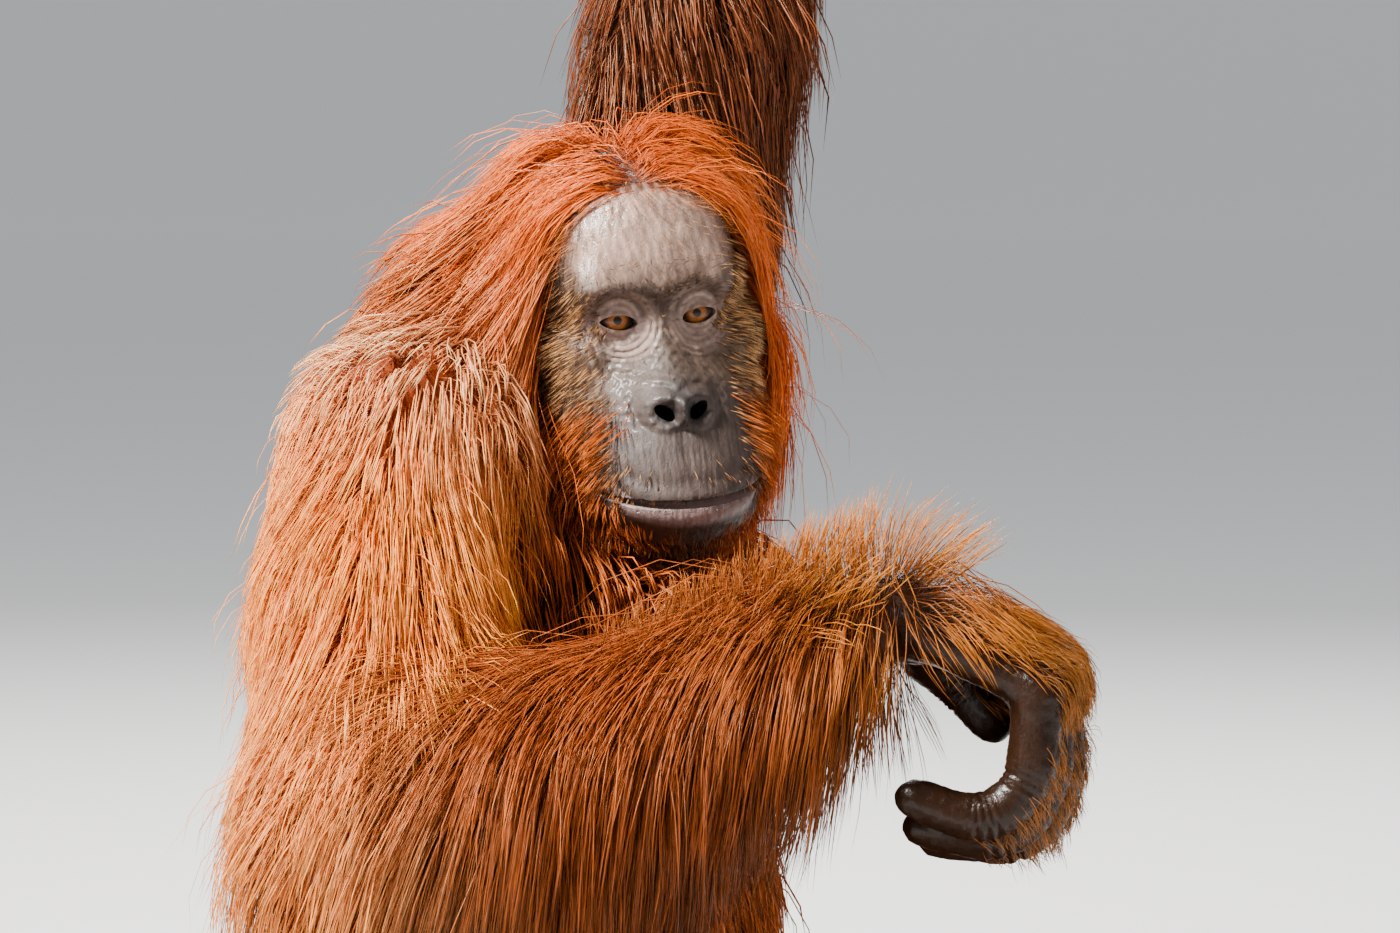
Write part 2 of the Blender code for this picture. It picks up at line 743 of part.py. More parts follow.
def foot_joints(side):
    """For each toe from the second to the little one: root, knuckle and joints; then the big toe."""
    foot = FEET[side]
    ahead, dorsal = foot["ahead"], foot["dorsal"]
    lateral = np.cross(ahead, dorsal) * (1 if side == "right" else -1)
    if side == "left":
        low = foot["heel"] + 0.0 * lateral
    else:
        low = foot["heel"] - np.array((0.0, 0.0, 0.004))
    toes = []
    for i, scale in enumerate(TOE_SCALES):
        across = (i - 1.5) * TOE_SPACING
        centre = low - lateral * (0.036 if side == "left" else 0.0)
        root = centre + ahead * 0.060 + 0.6 * across * lateral
        knuckle = centre + ahead * (0.138 - 0.005 * i) + across * lateral
        if side == "right":
            root[2], knuckle[2] = FLOOR + 0.030, FLOOR + 0.0135
        chain = [root, knuckle]
        slope = 0.0
        for length, share in ((0.046, 0.5), (0.032, 1.2), (0.026, 1.3)):
            slope += math.radians(foot["curl"] * share)
            if side == "right":
                step = ahead * math.cos(slope * 0.5)
            else:
                step = ahead * math.cos(slope) - dorsal * math.sin(slope)
            chain.append(chain[-1] + step * length * scale)
        if side == "right":
            for point, rise in zip(chain[2:], (0.0085, 0.0045, 0.0)):
                point[2] = FLOOR + TOE_RADIUS * 0.92 + rise
        toes.append(chain)
    big_root = middle(toes[0][0], toes[0][1], 0.25) - 0.018 * lateral
    big_knuckle = big_root + ahead * 0.030 - lateral * 0.022
    big_tip = big_knuckle + ahead * 0.026 - lateral * 0.006
    if side == "right":
        big_root[2], big_knuckle[2], big_tip[2] = FLOOR + 0.020, FLOOR + 0.014, FLOOR + 0.012
    return toes, [big_root, big_knuckle, big_tip]


def foot_shapes(side, toes, big_toe):
    foot = FEET[side]
    ankle = JOINTS["ankle_" + side]
    shapes = [
        ball(foot["heel"], 0.028, 0.004),
        cone(ankle, middle(foot["heel"], ankle), 0.027, 0.026, 0.010),
        cone(foot["heel"], middle(toes[1][0], toes[2][0]), 0.026, 0.022, 0.006),
        cone(ankle, middle(toes[1][0], toes[2][0]), 0.026, 0.020, 0.008),
        cone(toes[0][0], big_toe[0], 0.016, 0.0125),
    ]
    for chain in toes:
        shapes.append(cone(chain[0], chain[1], 0.0155, 0.0125, 0.004))
    return shapes


# The lie of the coat: each lock is a flat, tapered, four-sided strip that is rooted in the core,
# follows the body out to the coat's full depth, and droops with its own weight
CORE_SHARE = 0.45
LOCK_ROOT_DEPTH = 0.012
LOCK_THICKNESS = 0.012
LOCK_OVERHANG = 0.014
LOCK_STEPS = {
    2: ((0.85, 1.0), ((0.80, 1.0), (1.0, 0.8))),
    3: ((0.75, 0.95, 1.0), ((0.75, 1.0), (1.0, 0.9), (0.75, 0.7))),
}
DOWN = np.array((0.0, 0.0, -1.0))


def slope_at(point, shapes, share):
    """Direction straight out of the blended surface at the point."""
    probe = 0.001 * np.vstack([np.eye(3), -np.eye(3)])
    value = flesh_distance(point + probe, shapes, share)
    return unit(value[:3] - value[3:])


def lock_path(root, lie, length, droop, steps, shapes):
    """The places along a lock, from its sunk root to its tip, and the way out at each."""
    place = settle(root[None, :], shapes, CORE_SHARE)[0]
    outward = slope_at(place, shapes, CORE_SHARE)
    path, ways = [place - LOCK_ROOT_DEPTH * outward], [outward]
    for step, share in enumerate(LOCK_STEPS[steps][0]):
        along = lie - (lie @ outward) * outward * (1.0 if step == 0 else 0.6)
        along = unit(unit(along) + droop * (step + 1) / steps * DOWN)
        place = place + along * length / steps
        if flesh_distance(place[None, :], shapes, share)[0] < 0.0 or droop < 0.5:
            place = settle(place[None, :], shapes, share)[0]
        outward = slope_at(place, shapes, share)
        path.append(place)
        ways.append(outward)
    return np.array(path), np.array(ways)


def kept_clear(path, others):
    """The path moved out of the other nodes, each grown by its share of its coat."""
    path = path.copy()
    room = LOCK_THICKNESS / 2
    for i in range(1, len(path)):
        for shapes, share in others:
            depth = room - flesh_distance(path[i][None, :], shapes, share)[0]
            if depth > 0.0:
                path[i] = path[i] + depth * slope_at(path[i], shapes, share)
        path[i][2] = max(path[i][2], FLOOR + LOCK_THICKNESS)
    return path


def lock_mesh(path, ways, width):
    """A closed strip with a four-cornered ring at each place and a pointed tip."""
    bm = bmesh.new()
    rings = []
    for i, (swell, thin) in enumerate(LOCK_STEPS[len(path) - 1][1]):
        forward = unit(path[i + 1] - path[max(i - 1, 0)])
        side = unit(np.cross(forward, ways[i]))
        out = np.cross(side, forward)
        half, rise = 0.5 * width * swell, 0.5 * LOCK_THICKNESS * thin
        corners = (half * side, rise * out, -half * side, -rise * out)
        rings.append([bm.verts.new(path[i] + corner) for corner in corners])
    tip = bm.verts.new(path[-1])
    bm.faces.new(rings[0])
    for ring, after in zip(rings, rings[1:]):
        for j in range(4):
            bm.faces.new((ring[j], ring[j - 1], after[j - 1], after[j]))
    for j in range(4):
        bm.faces.new((rings[-1][j], rings[-1][j - 1], tip))
    for vertex in bm.verts:
        vertex.co.z = max(vertex.co.z, FLOOR + GAP)
    bmesh.ops.triangulate(bm, faces=bm.faces[:])
    bmesh.ops.recalc_face_normals(bm, faces=bm.faces[:])
    return from_bmesh("lock", bm)


def grow_locks(rows, shapes, others):
    """Locks for rows of root, lie, length, width, droop and steps, not rooted under another node."""
    locks = []
    for root, lie, length, width, droop, steps in rows:
        place = settle(root[None, :], shapes, CORE_SHARE)
        if any(flesh_distance(place, other, share)[0] < 0.0 for other, share in others):
            continue
        path, ways = lock_path(place[0], lie, length, droop, steps, shapes)
        path = kept_clear(path, others)
        if np.linalg.norm(path[-1] - path[0]) > 0.4 * length:
            locks.append(lock_mesh(path, ways, width))
    return locks


def fuse(thing, locks):
    """Joins the locks to their node by one union, and keeps its largest closed surface."""
    group = bpy.data.collections.new("locks")
    bpy.context.scene.collection.children.link(group)
    for lock in locks:
        bpy.context.scene.collection.objects.unlink(lock)
        group.objects.link(lock)
    modifier = thing.modifiers.new("union", "BOOLEAN")
    modifier.operation = "UNION"
    modifier.solver = "MANIFOLD"
    modifier.operand_type = "COLLECTION"
    modifier.collection = group
    thing = applied(thing)
    for lock in locks:
        bpy.data.objects.remove(lock)
    bpy.data.collections.remove(group)
    return tidied(thing)


def limb_rows(start, end, tiers, count, length, width, droop, rng):
    """Locks in staggered rings down the line from start to end, whose tips stop just past the end."""
    axis = unit(end - start)
    first = unit(np.cross(axis, (0.3, -0.2, 1.0) if abs(axis[2]) < 0.9 else (0.0, 1.0, 0.0)))
    second = np.cross(axis, first)
    rows = []
    for row, along in enumerate(tiers):
        for k in range(count):
            angle = 2 * math.pi * (k + 0.5 * (row % 2)) / count
            out = math.cos(angle) * first + math.sin(angle) * second
            root = middle(start, end, along) + 0.05 * out
            room = (1.0 - along) * np.linalg.norm(end - start) + LOCK_OVERHANG
            vary = 1.0 + 0.14 * rng.uniform(-1.0, 1.0)
            rows.append((root, axis, min(length, room) * vary, width, droop, 2))
    return rows


def head_rows(rng):
    """Hair that falls from the crown to both sides and behind, and a beard along the jaw."""
    rows = []
    crown = np.array((0.0, 0.030, 0.030))
    for slant, count, length in ((14, 4, 0.10), (50, 8, 0.125), (90, 8, 0.130)):
        for k in range(count):
            face = math.radians(-180 + 360 * (k + 0.5) / count)
            if slant > 30 and abs(face) < math.radians(58):
                continue
            tilt = math.radians(slant)
            way = np.array(
                (math.sin(tilt) * math.sin(face), -math.sin(tilt) * math.cos(face), math.cos(tilt))
            )
            outward = 2.2 if slant < 30 else 0.35
            fall = np.array((outward * math.sin(face), -0.6 * outward * math.cos(face), -1.0))
            vary = 1.0 + 0.10 * rng.uniform(-1.0, 1.0)
            root = on_head(crown + 0.075 * way)
            rows.append((root, HEAD_TURN @ unit(fall), length * vary, 0.060, 0.25, 3))
    for side in (-1, 1):
        for along in (0.25, 0.70):
            place = middle((side * 0.056, 0.010, -0.075), (side * 0.030, -0.060, -0.112), along)
            lie = HEAD_TURN @ unit((side * 0.25, 0.15, -1.0))
            rows.append((on_head(place * (1.15, 1.0, 1.0)), lie, 0.055, 0.040, 0.6, 2))
    return rows


def torso_rows(rng):
    rows = []
    for row, height in enumerate((0.660, 0.565, 0.450, 0.335, 0.225)):
        count = 4 if row == 0 else 7
        for k in range(count):
            angle = 2 * math.pi * (k + 0.5 * (row % 2)) / count
            out = np.array((math.sin(angle), math.cos(angle), 0.0))
            root = np.array((0.0, 0.095 if row == 0 else 0.075, height))
            root = root + (0.05 if row == 0 else 0.13) * out
            length = 0.160 * (1.0 + 0.14 * rng.uniform(-1.0, 1.0))
            spread = 1.2 if row == 0 else 0.12
            rows.append((root, unit(DOWN + spread * out), length, 0.105, 0.25, 2))
    return rows


def coat_rows(name):
    """Every lock of one node."""
    rng = np.random.default_rng(sum(map(ord, name)))
    if name == "head":
        return head_rows(rng)
    if name == "torso":
        return torso_rows(rng)
    part, _, side = name.rpartition("_")
    if part not in ("upper_arm", "forearm"):
        return []
    start, end = (JOINTS[f"{joint}_{side}"] for joint in LIMB_ENDS[part])
    if part == "upper_arm":
        return limb_rows(start, end, (-0.10, 0.24, 0.58), 5, 0.150, 0.082, 0.10, rng)
    droop = 0.8 if side == "right" else 0.15
    rows = limb_rows(end, start, (0.14, 0.42, 0.70), 5, 0.130, 0.074, droop, rng)
    if side == "right":
        rows += curtain_rows(start, end, rng)
    return rows


def curtain_rows(start, end, rng):
    """The long hair that hangs from the underside of the right forearm."""
    rows = []
    for along in np.linspace(0.10, 0.86, 6):
        for shift in (-0.022, 0.022):
            root = middle(start, end, along) + DOWN * 0.05 + shift * RIGHT_HAND_SIDE
            length = 0.125 * (1.0 + 0.2 * rng.uniform(-1.0, 1.0)) * (1.15 - 0.5 * along)
            rows.append((root, unit(DOWN - 0.25 * unit(end - start)), length, 0.058, 0.9, 3))
    return rows


LIMB_ENDS = {
    "upper_arm": ("shoulder", "elbow"),
    "forearm": ("elbow", "wrist"),
}

# Parts whose solid holds the whole depth of the coat as one smooth form
PLAIN = ("thigh", "shin", "foot", "hand")


# The planes that part a limb's nodes: a point and the direction that leads away from the body
def joint_planes():
    planes = {}
    for side in ("right", "left"):
        shoulder, elbow = JOINTS["shoulder_" + side], JOINTS["elbow_" + side]
        wrist = JOINTS["wrist_" + side]
        arm, fore = unit(elbow - shoulder), unit(wrist - elbow)
        planes["elbow_" + side] = (elbow, unit(arm + fore))
        planes["wrist_" + side] = (wrist, fore)
        hip, knee = JOINTS["hip_" + side], JOINTS["knee_" + side]
        ankle = JOINTS["ankle_" + side]
        thigh, shin = unit(knee - hip), unit(ankle - knee)
        planes["knee_" + side] = (knee, unit(thigh + shin))
        planes["ankle_" + side] = (middle(knee, ankle, 0.88), shin)
    planes["neck"] = (on_head((0.0, 0.030, -0.072)), HEAD_TURN @ unit((0.0, -0.55, 0.84)))
    return planes


PLANES = joint_planes()


def before(name):
    """Keeps the body side of the plane."""
    return PLANES[name]


def beyond(name):
    """Keeps the far side of the plane."""
    point, normal = PLANES[name]
    return point, -normal


FLOOR_CUT = ((0.0, 0.0, FLOOR + GAP / 2), (0.0, 0.0, -1.0))


def box_of(thing):
    """The lowest and highest corner of the object's mesh."""
    points = coordinates(thing.data)
    return points.min(axis=0), points.max(axis=0)


def dress(made):
    """Fuses each hairy node with its locks, which lie over the nodes that come after it in the
    order of overlap and stay clear of the whole coat of those that come before it."""
    bodies = flesh_of_nodes()
    for i, name in enumerate(OVERLAP):
        others = []
        for j, other in enumerate(OVERLAP):
            if other != name:
                full = j < i or other.rpartition("_")[0] in PLAIN
                others.append((bodies[other][0], 0.9 if full else CORE_SHARE))
        locks = grow_locks(coat_rows(name), bodies[name][1], others)
        if locks:
            made[name] = fuse(made[name], locks)


OVERLAP = (
    "hand_right",
    "hand_left",
    "foot_right",
    "foot_left",
    "head",
    "upper_arm_right",
    "upper_arm_left",
    "forearm_right",
    "forearm_left",
    "neck",
    "torso",
    "shin_right",
    "shin_left",
    "thigh_right",
    "thigh_left",
)


def flesh_of_nodes():
    """For every node, its own shapes and those that its surface is blended from."""
    bodies = {
        "head": (skull_shapes(), skull_shapes()),
        "torso": (torso_shapes(), torso_shapes()),
        "neck": (neck_shapes(), neck_shapes()),
    }
    for side in ("right", "left"):
        arm, fore = upper_arm_shapes(side), forearm_shapes(side)
        thigh, shin = thigh_shapes(side), shin_shapes(side)
        hand, thumb = HANDS[side]
        palm = palm_shapes(hand, thumb, JOINTS["wrist_" + side], 0.008)
        foot = foot_shapes(side, *FEET_JOINTS[side])
        bodies["upper_arm_" + side] = (arm, arm + fore)
        bodies["forearm_" + side] = (fore, arm + fore)
        bodies["hand_" + side] = (palm, palm)
        bodies["thigh_" + side] = (thigh, thigh + shin)
        bodies["shin_" + side] = (shin, thigh + shin)
        bodies["foot_" + side] = (foot, foot)
    return bodies


def make_room(made, order):
    """Cuts each node clear of those before it in the order, where their boxes meet."""
    for i, name in enumerate(order):
        for other in order[:i]:
            low, high = box_of(made[name])
            other_low, other_high = box_of(made[other])
            if np.all(low < other_high) and np.all(other_low < high):
                made[name] = cut_clear(made[name], [made[other]])
                made[name] = cut_clear(made[name], [made[other]], 0.0)


def build_limb(side, share):
    """The arm and leg of one side, each node blended with its neighbours and cut from them."""
    made = {}
    shoulder, elbow = JOINTS["shoulder_" + side], JOINTS["elbow_" + side]
    wrist = JOINTS["wrist_" + side]
    hand, thumb = HANDS[side]
    arm, fore = upper_arm_shapes(side), forearm_shapes(side)
    palm = palm_shapes(hand, thumb, wrist, 0.008)
    rows = [("upper_arm", arm + fore, 0.010, 260, [before("elbow_" + side)], middle(shoulder, elbow))]
    cuts = [beyond("elbow_" + side), before("wrist_" + side)]
    rows.append(("forearm", arm + fore + palm, 0.008, 280, cuts, middle(elbow, wrist)))
    rows.append(("hand", fore + palm, 0.0055, 620, [beyond("wrist_" + side)], hand[1][0]))
    hip, knee, ankle = (JOINTS[f"{joint}_{side}"] for joint in ("hip", "knee", "ankle"))
    thigh, shin = thigh_shapes(side), shin_shapes(side)
    toes, big_toe = FEET_JOINTS[side]
    foot = foot_shapes(side, toes, big_toe)
    cuts = [before("knee_" + side), FLOOR_CUT]
    rows.append(("thigh", thigh + shin, 0.010, 240, cuts, middle(hip, knee)))
    cuts = [beyond("knee_" + side), before("ankle_" + side), FLOOR_CUT]
    rows.append(("shin", thigh + shin + foot, 0.008, 240, cuts, middle(knee, ankle)))
    cuts = [beyond("ankle_" + side), FLOOR_CUT]
    rows.append(("foot", shin + foot, 0.0055, 560, cuts, middle(FEET[side]["heel"], toes[1][1])))
    for part, shapes, voxel, faces, cuts, seed in rows:
        name = f"{part}_{side}"
        blend = 0.005 if part in ("hand", "foot") else BLEND
        depth = 1.0 if part in PLAIN else share
        made[name] = flesh_node(name, shapes, depth, voxel, faces, cuts, seed, blend)
    return made


def build_trunk(share):
    made = {}
    trunk = torso_shapes()
    made["torso"] = flesh_node("torso", trunk, share, 0.013, 560, [FLOOR_CUT], (0, 0.06, 0.33))
    shapes = neck_shapes() + skull_shapes()
    seed = middle((0.0, 0.085, 0.57), on_head((0.0, 0.030, -0.072)))
    made["neck"] = flesh_node("neck", shapes, share, 0.009, 280, [before("neck")], seed)
    return made


HANDS = {
    "right": (right_hand_joints(), right_thumb_joints()),
    "left": (left_hand_joints(), left_thumb_joints()),
}
FEET_JOINTS = {side: foot_joints(side) for side in FEET}
FINGER_NAMES = ("index", "middle", "ring", "little")


def build_digits(made):
    """Fingers, thumbs and toes, each cut to meet its palm or sole."""
    for side in ("right", "left"):
        fingers, thumb = HANDS[side]
        for finger, chain in zip(FINGER_NAMES, fingers):
            name = f"finger_{finger}_{side}"
            made[name] = cut_clear(digit(name, chain[1:], FINGER_RADIUS, 9, 1), [made["hand_" + side]])
        name = "thumb_" + side
        made[name] = cut_clear(digit(name, thumb, 0.0098, 6, 1), [made["hand_" + side]])
        toes, big_toe = FEET_JOINTS[side]
        for toe, chain in zip(FINGER_NAMES, toes):
            name = f"toe_{toe}_{side}"
            made[name] = cut_clear(digit(name, chain[1:], TOE_RADIUS, 6, 1), [made["foot_" + side]])
        name = "toe_big_" + side
        made[name] = cut_clear(digit(name, big_toe, 0.0100, 5, 1), [made["foot_" + side]])


def build_stand(made):
    """A plain slab, an upright rod with a foot, and the cut branch that it carries."""
    bm = bmesh.new()
    place = Matrix.Translation((0.0, 0.0, BASE_SIZE[2] / 2)) @ Matrix.Diagonal((*BASE_SIZE, 1.0))
    bmesh.ops.create_cube(bm, size=1.0, matrix=place)
    corners = [edge for edge in bm.edges if abs(edge.verts[0].co.z - edge.verts[1].co.z) > 0.01]
    bmesh.ops.bevel(
        bm, geom=corners, offset=0.05, segments=5, affect="EDGES", profile=0.5, material=-1
    )
    rim = [edge for edge in bm.edges if min(vertex.co.z for vertex in edge.verts) > 0.02]
    bmesh.ops.bevel(
        bm, geom=rim, offset=BASE_EDGE, segments=2, affect="EDGES", profile=0.5, material=-1
    )
    bmesh.ops.triangulate(bm, faces=bm.faces[:])
    made["stand_base"] = from_bmesh("stand_base", bm)
    points = [
        BRANCH_CENTRE + BRANCH_ALONG * along + np.array((0.0, 0.0, lift))
        for along, lift in BRANCH_RUN
    ]
    path = smooth_path(points, 12)
    reach = np.linalg.norm(path - BRANCH_CENTRE, axis=1)
    radii = BRANCH_RADIUS + 0.0035 * np.clip((reach - 0.075) / 0.1, 0.0, 1.0)
    made["perch_branch"] = tube("perch_branch", path, radii, 3)
    foot = BRANCH_CENTRE + BRANCH_ALONG * ROD_ALONG
    rod_top = (foot[0], foot[1], foot[2] - BRANCH_RADIUS * 0.55)
    rod = tube("stand_rod", [(foot[0], foot[1], FLOOR), rod_top], [ROD_RADIUS] * 2, 3)
    made["stand_rod"] = cut_clear(rod, [made["perch_branch"]])


BRANCH_RUN = ((-0.20, 0.004), (-0.08, 0.0), (0.0, 0.0), (0.08, 0.0), (0.20, 0.0), (0.30, 0.008))
ROD_ALONG = 0.207


def finish(made):
    """Gives every node its material and smooth shading."""
    materials = {}
    for name, colour in COLOURS.items():
        material = bpy.data.materials.new(name)
        material.use_nodes = True
        shader = material.node_tree.nodes["Principled BSDF"]
        shader.inputs["Base Color"].default_value = colour
        shader.inputs["Roughness"].default_value = 0.35 if name in ("eye", "steel") else 0.7
        shader.inputs["Metallic"].default_value = 1.0 if name == "steel" else 0.0
        materials[name] = material
    for name, thing in made.items():
        thing.name = name
        thing.data.name = name
        thing.data.materials.clear()
        thing.data.materials.append(materials[finish_of(name)])
        thing.data.shade_smooth()


def finish_of(name):
    """The material that a node wears."""
    first = name.split("_")[0]
    if name == "stand_rod":
        return "steel"
    table = {
        "stand": "base",
        "perch": "bark",
        "head": "face",
        "ear": "face",
        "eye": "eye",
        "hand": "hide",
        "finger": "hide",
        "thumb": "hide",
        "foot": "hide",
        "toe": "hide",
    }
    return table.get(first, "coat")


ORDER = (
    "perch_branch",
    "head",
    "ear_right",
    "ear_left",
    "neck",
    "torso",
    "hand_right",
    "hand_left",
    "forearm_right",
    "forearm_left",
    "upper_arm_right",
    "upper_arm_left",
    "thigh_right",
    "thigh_left",
    "shin_right",
    "shin_left",
    "foot_right",
    "foot_left",
)


def main():
    for old in list(bpy.data.objects):
        bpy.data.objects.remove(old, do_unlink=True)
    share = CORE_SHARE
    made = build_trunk(share)
    for side in ("right", "left"):
        made.update(build_limb(side, share))
    head, shapes, blend = build_head(share)
    made["head"] = part_with_planes(head, [beyond("neck")], on_head((0.0, -0.02, -0.01)))
    for side, name in ((-1, "ear_right"), (1, "ear_left")):
        made[name] = build_ear(side, name, shapes, share)
    build_stand(made)
    dress(made)
    make_room(made, ORDER)
    build_digits(made)
    head = carve_face(made["head"], shapes, share, blend)
    right_eye, left_eye = build_eyes()
    made["head"] = cut_clear(head, [right_eye, left_eye], GAP)
    made["eye_right"], made["eye_left"] = right_eye, left_eye
    finish(made)


main()
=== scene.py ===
"""Looks of the seated orangutan on its display stand: skin, eyes, coat, nails, perch, base and studio."""

import math
from functools import partial

import bmesh
import bpy
import numpy as np
from mathutils import Matrix, Vector
from mathutils.kdtree import KDTree


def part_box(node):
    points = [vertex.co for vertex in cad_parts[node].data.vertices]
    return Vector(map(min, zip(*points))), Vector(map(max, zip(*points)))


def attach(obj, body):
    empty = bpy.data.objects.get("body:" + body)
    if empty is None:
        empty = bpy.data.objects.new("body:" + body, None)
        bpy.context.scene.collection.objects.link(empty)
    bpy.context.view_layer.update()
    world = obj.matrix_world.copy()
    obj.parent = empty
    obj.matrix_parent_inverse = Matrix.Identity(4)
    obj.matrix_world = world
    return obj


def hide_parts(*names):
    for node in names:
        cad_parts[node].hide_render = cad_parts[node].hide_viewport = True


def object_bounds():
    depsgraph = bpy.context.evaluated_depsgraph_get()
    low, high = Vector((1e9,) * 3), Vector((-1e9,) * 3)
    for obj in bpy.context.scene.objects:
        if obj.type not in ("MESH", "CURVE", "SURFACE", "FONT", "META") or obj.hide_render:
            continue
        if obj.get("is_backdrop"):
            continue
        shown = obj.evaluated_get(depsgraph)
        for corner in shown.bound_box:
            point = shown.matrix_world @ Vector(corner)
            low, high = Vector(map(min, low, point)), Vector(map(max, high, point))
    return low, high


bl_info = {
    "name": "Seated orangutan",
    "version": (1, 0, 0),
    "blender": (4, 5, 0),
    "location": "3D View > Sidebar > Orangutan",
    "description": "Skin, long coat, face, hands, perch and display base of a life-size orangutan",
    "category": "Object",
}

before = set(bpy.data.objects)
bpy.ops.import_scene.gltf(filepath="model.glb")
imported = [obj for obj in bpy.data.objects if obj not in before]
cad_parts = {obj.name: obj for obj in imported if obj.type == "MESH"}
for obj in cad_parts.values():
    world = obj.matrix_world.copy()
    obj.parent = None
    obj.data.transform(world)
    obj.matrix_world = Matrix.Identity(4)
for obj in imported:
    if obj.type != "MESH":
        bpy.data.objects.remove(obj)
CAD_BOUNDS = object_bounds()

# Joint centres of the body, in metres in the frame
JOINTS = {
    "shoulder_right": (-0.141, 0.077, 0.532),
    "elbow_right": (-0.302, -0.010, 0.327),
    "wrist_right": (-0.074, -0.221, 0.446),
    "shoulder_left": (0.128, 0.088, 0.635),
    "elbow_left": (0.198, 0.072, 0.925),
    "wrist_left": (0.155, 0.012, 1.255),
    "hip_right": (-0.085, 0.080, 0.125),
    "knee_right": (-0.170, -0.090, 0.292),
    "ankle_right": (-0.130, -0.015, 0.088),
    "hip_left": (0.085, 0.080, 0.125),
    "knee_left": (0.300, -0.060, 0.112),
    "ankle_left": (0.110, -0.190, 0.078),
}
JOINTS = {name: np.array(place) for name, place in JOINTS.items()}
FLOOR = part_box("stand_base")[1].z + 0.0004
HEAD_CENTRE = np.array((-0.010, 0.005, 0.615))
HEAD_ANGLES = (-41.0, 4.0, -5.0)
EYE_RADIUS = 0.0115
EYE_PLACE = np.array((0.0237, -0.0515, -0.0030))
LID_THICKNESS = 0.0019
UPPER_LID = 0.0052
LOWER_LID = 0.0045
NOSTRIL_SIDE = 0.0098
NOSTRIL_RADII = (0.0042, 0.0150, 0.0074)
UP = np.array((0.0, 0.0, 1.0))


def unit(vectors):
    """The vector, or each row of vectors, at length one."""
    vectors = np.asarray(vectors, float)
    return vectors / (np.linalg.norm(vectors, axis=-1, keepdims=True) + 1e-12)


def side_name(side):
    """The name of a side of the head, which is -1 on the right and 1 on the left."""
    return "left" if side > 0 else "right"


def middle(first, second, share=0.5):
    return (1.0 - share) * np.asarray(first) + share * np.asarray(second)


def head_turn():
    """Rotation from the head's own axes (left, back, up) to the frame's."""
    yaw, pitch, roll = (math.radians(angle) for angle in HEAD_ANGLES)
    turn = Matrix.Rotation(yaw, 3, "Z") @ Matrix.Rotation(roll, 3, "Y")
    return np.array(turn @ Matrix.Rotation(pitch, 3, "X"))


HEAD_TURN = head_turn()


def on_head(place):
    """Places in the head's own axes, in the frame."""
    return HEAD_CENTRE + np.asarray(place, float) @ HEAD_TURN.T


def in_head(points):
    """Places in the frame, in the head's own axes."""
    return (points - HEAD_CENTRE) @ HEAD_TURN


# Each step that measures a slope, and the furthest that a point is moved at once, in metres
PROBE = 0.0007
LONGEST_MOVE = 0.02


# Shapes of flesh: a cone is a rounded rod, a ball is an ellipsoid, and both carry the coat over them
def cone(start, end, start_radius, end_radius, coat=0.0, part="torso"):
    return {
        "kind": "cone",
        "start": np.asarray(start, float),
        "end": np.asarray(end, float),
        "radii": (start_radius, end_radius),
        "coat": coat,
        "part": part,
    }


def ball(centre, radii, coat=0.0, part="torso", turn=None):
    return {
        "kind": "ball",
        "centre": np.asarray(centre, float),
        "radii": np.asarray(radii, float) * np.ones(3),
        "coat": coat,
        "part": part,
        "turn": np.eye(3) if turn is None else turn,
    }


def head_cone(start, end, start_radius, end_radius, coat=0.0):
    return cone(on_head(start), on_head(end), start_radius, end_radius, coat, "head")


def head_ball(centre, radii, coat=0.0):
    return ball(on_head(centre), radii, coat, "head", HEAD_TURN)


def shape_distance(points, shape):
    """Distance from the points to one shape, negative inside it."""
    if shape["kind"] == "cone":
        start, axis = shape["start"], shape["end"] - shape["start"]
        along = np.clip((points - start) @ axis / (axis @ axis), 0.0, 1.0)
        small, large = shape["radii"]
        away = np.linalg.norm(points - start - along[:, None] * axis, axis=1)
        return away - (small + along * (large - small))
    radii = shape["radii"]
    local = (points - shape["centre"]) @ shape["turn"]
    near = np.linalg.norm(local / radii, axis=1)
    slope = np.linalg.norm(local / radii**2, axis=1) + 1e-9
    return near * (near - 1.0) / slope


def flesh_distance(points, shapes, blend):
    """Distance to the smooth blend of the shapes."""
    distances = np.array([shape_distance(points, shape) for shape in shapes])
    lowest = distances.min(axis=0)
    return lowest - blend * np.log(np.exp(-(distances - lowest) / blend).sum(axis=0))


def flesh_slope(points, shapes, blend):
    """Distance to the blended shapes and the way straight out of them."""
    value = flesh_distance(points, shapes, blend)
    steps = [flesh_distance(points + PROBE * axis, shapes, blend) for axis in np.eye(3)]
    return value, (np.stack(steps, axis=1) - value[:, None]) / PROBE


def settle(points, shapes, blend, steps):
    """Moves the points on to the blended surface."""
    points = points.copy()
    for _ in range(steps):
        value, slope = flesh_slope(points, shapes, blend)
        slope /= np.maximum((slope**2).sum(axis=1), 0.05)[:, None]
        points -= np.clip(value, -LONGEST_MOVE, LONGEST_MOVE)[:, None] * slope
    return points


# Size of the remesh's cells, and the share of a hand's and a foot's triangles that is kept
HEAD_CELL = 0.0021
BODY_CELL = 0.0065
HAND_CELL = 0.0015
HAND_SHARE = 0.54
FOOT_SHARE = 0.32
# How softly the shapes run into each other, in metres
BODY_BLEND = 0.010
HEAD_BLEND = 0.006
HAND_BLEND = 0.0035
COAT_BLEND = 0.012

# Flesh of each part of the body, the same as the solids'
SIDES = ("right", "left")
ARM_COAT = 0.030
LEG_COAT = 0.028


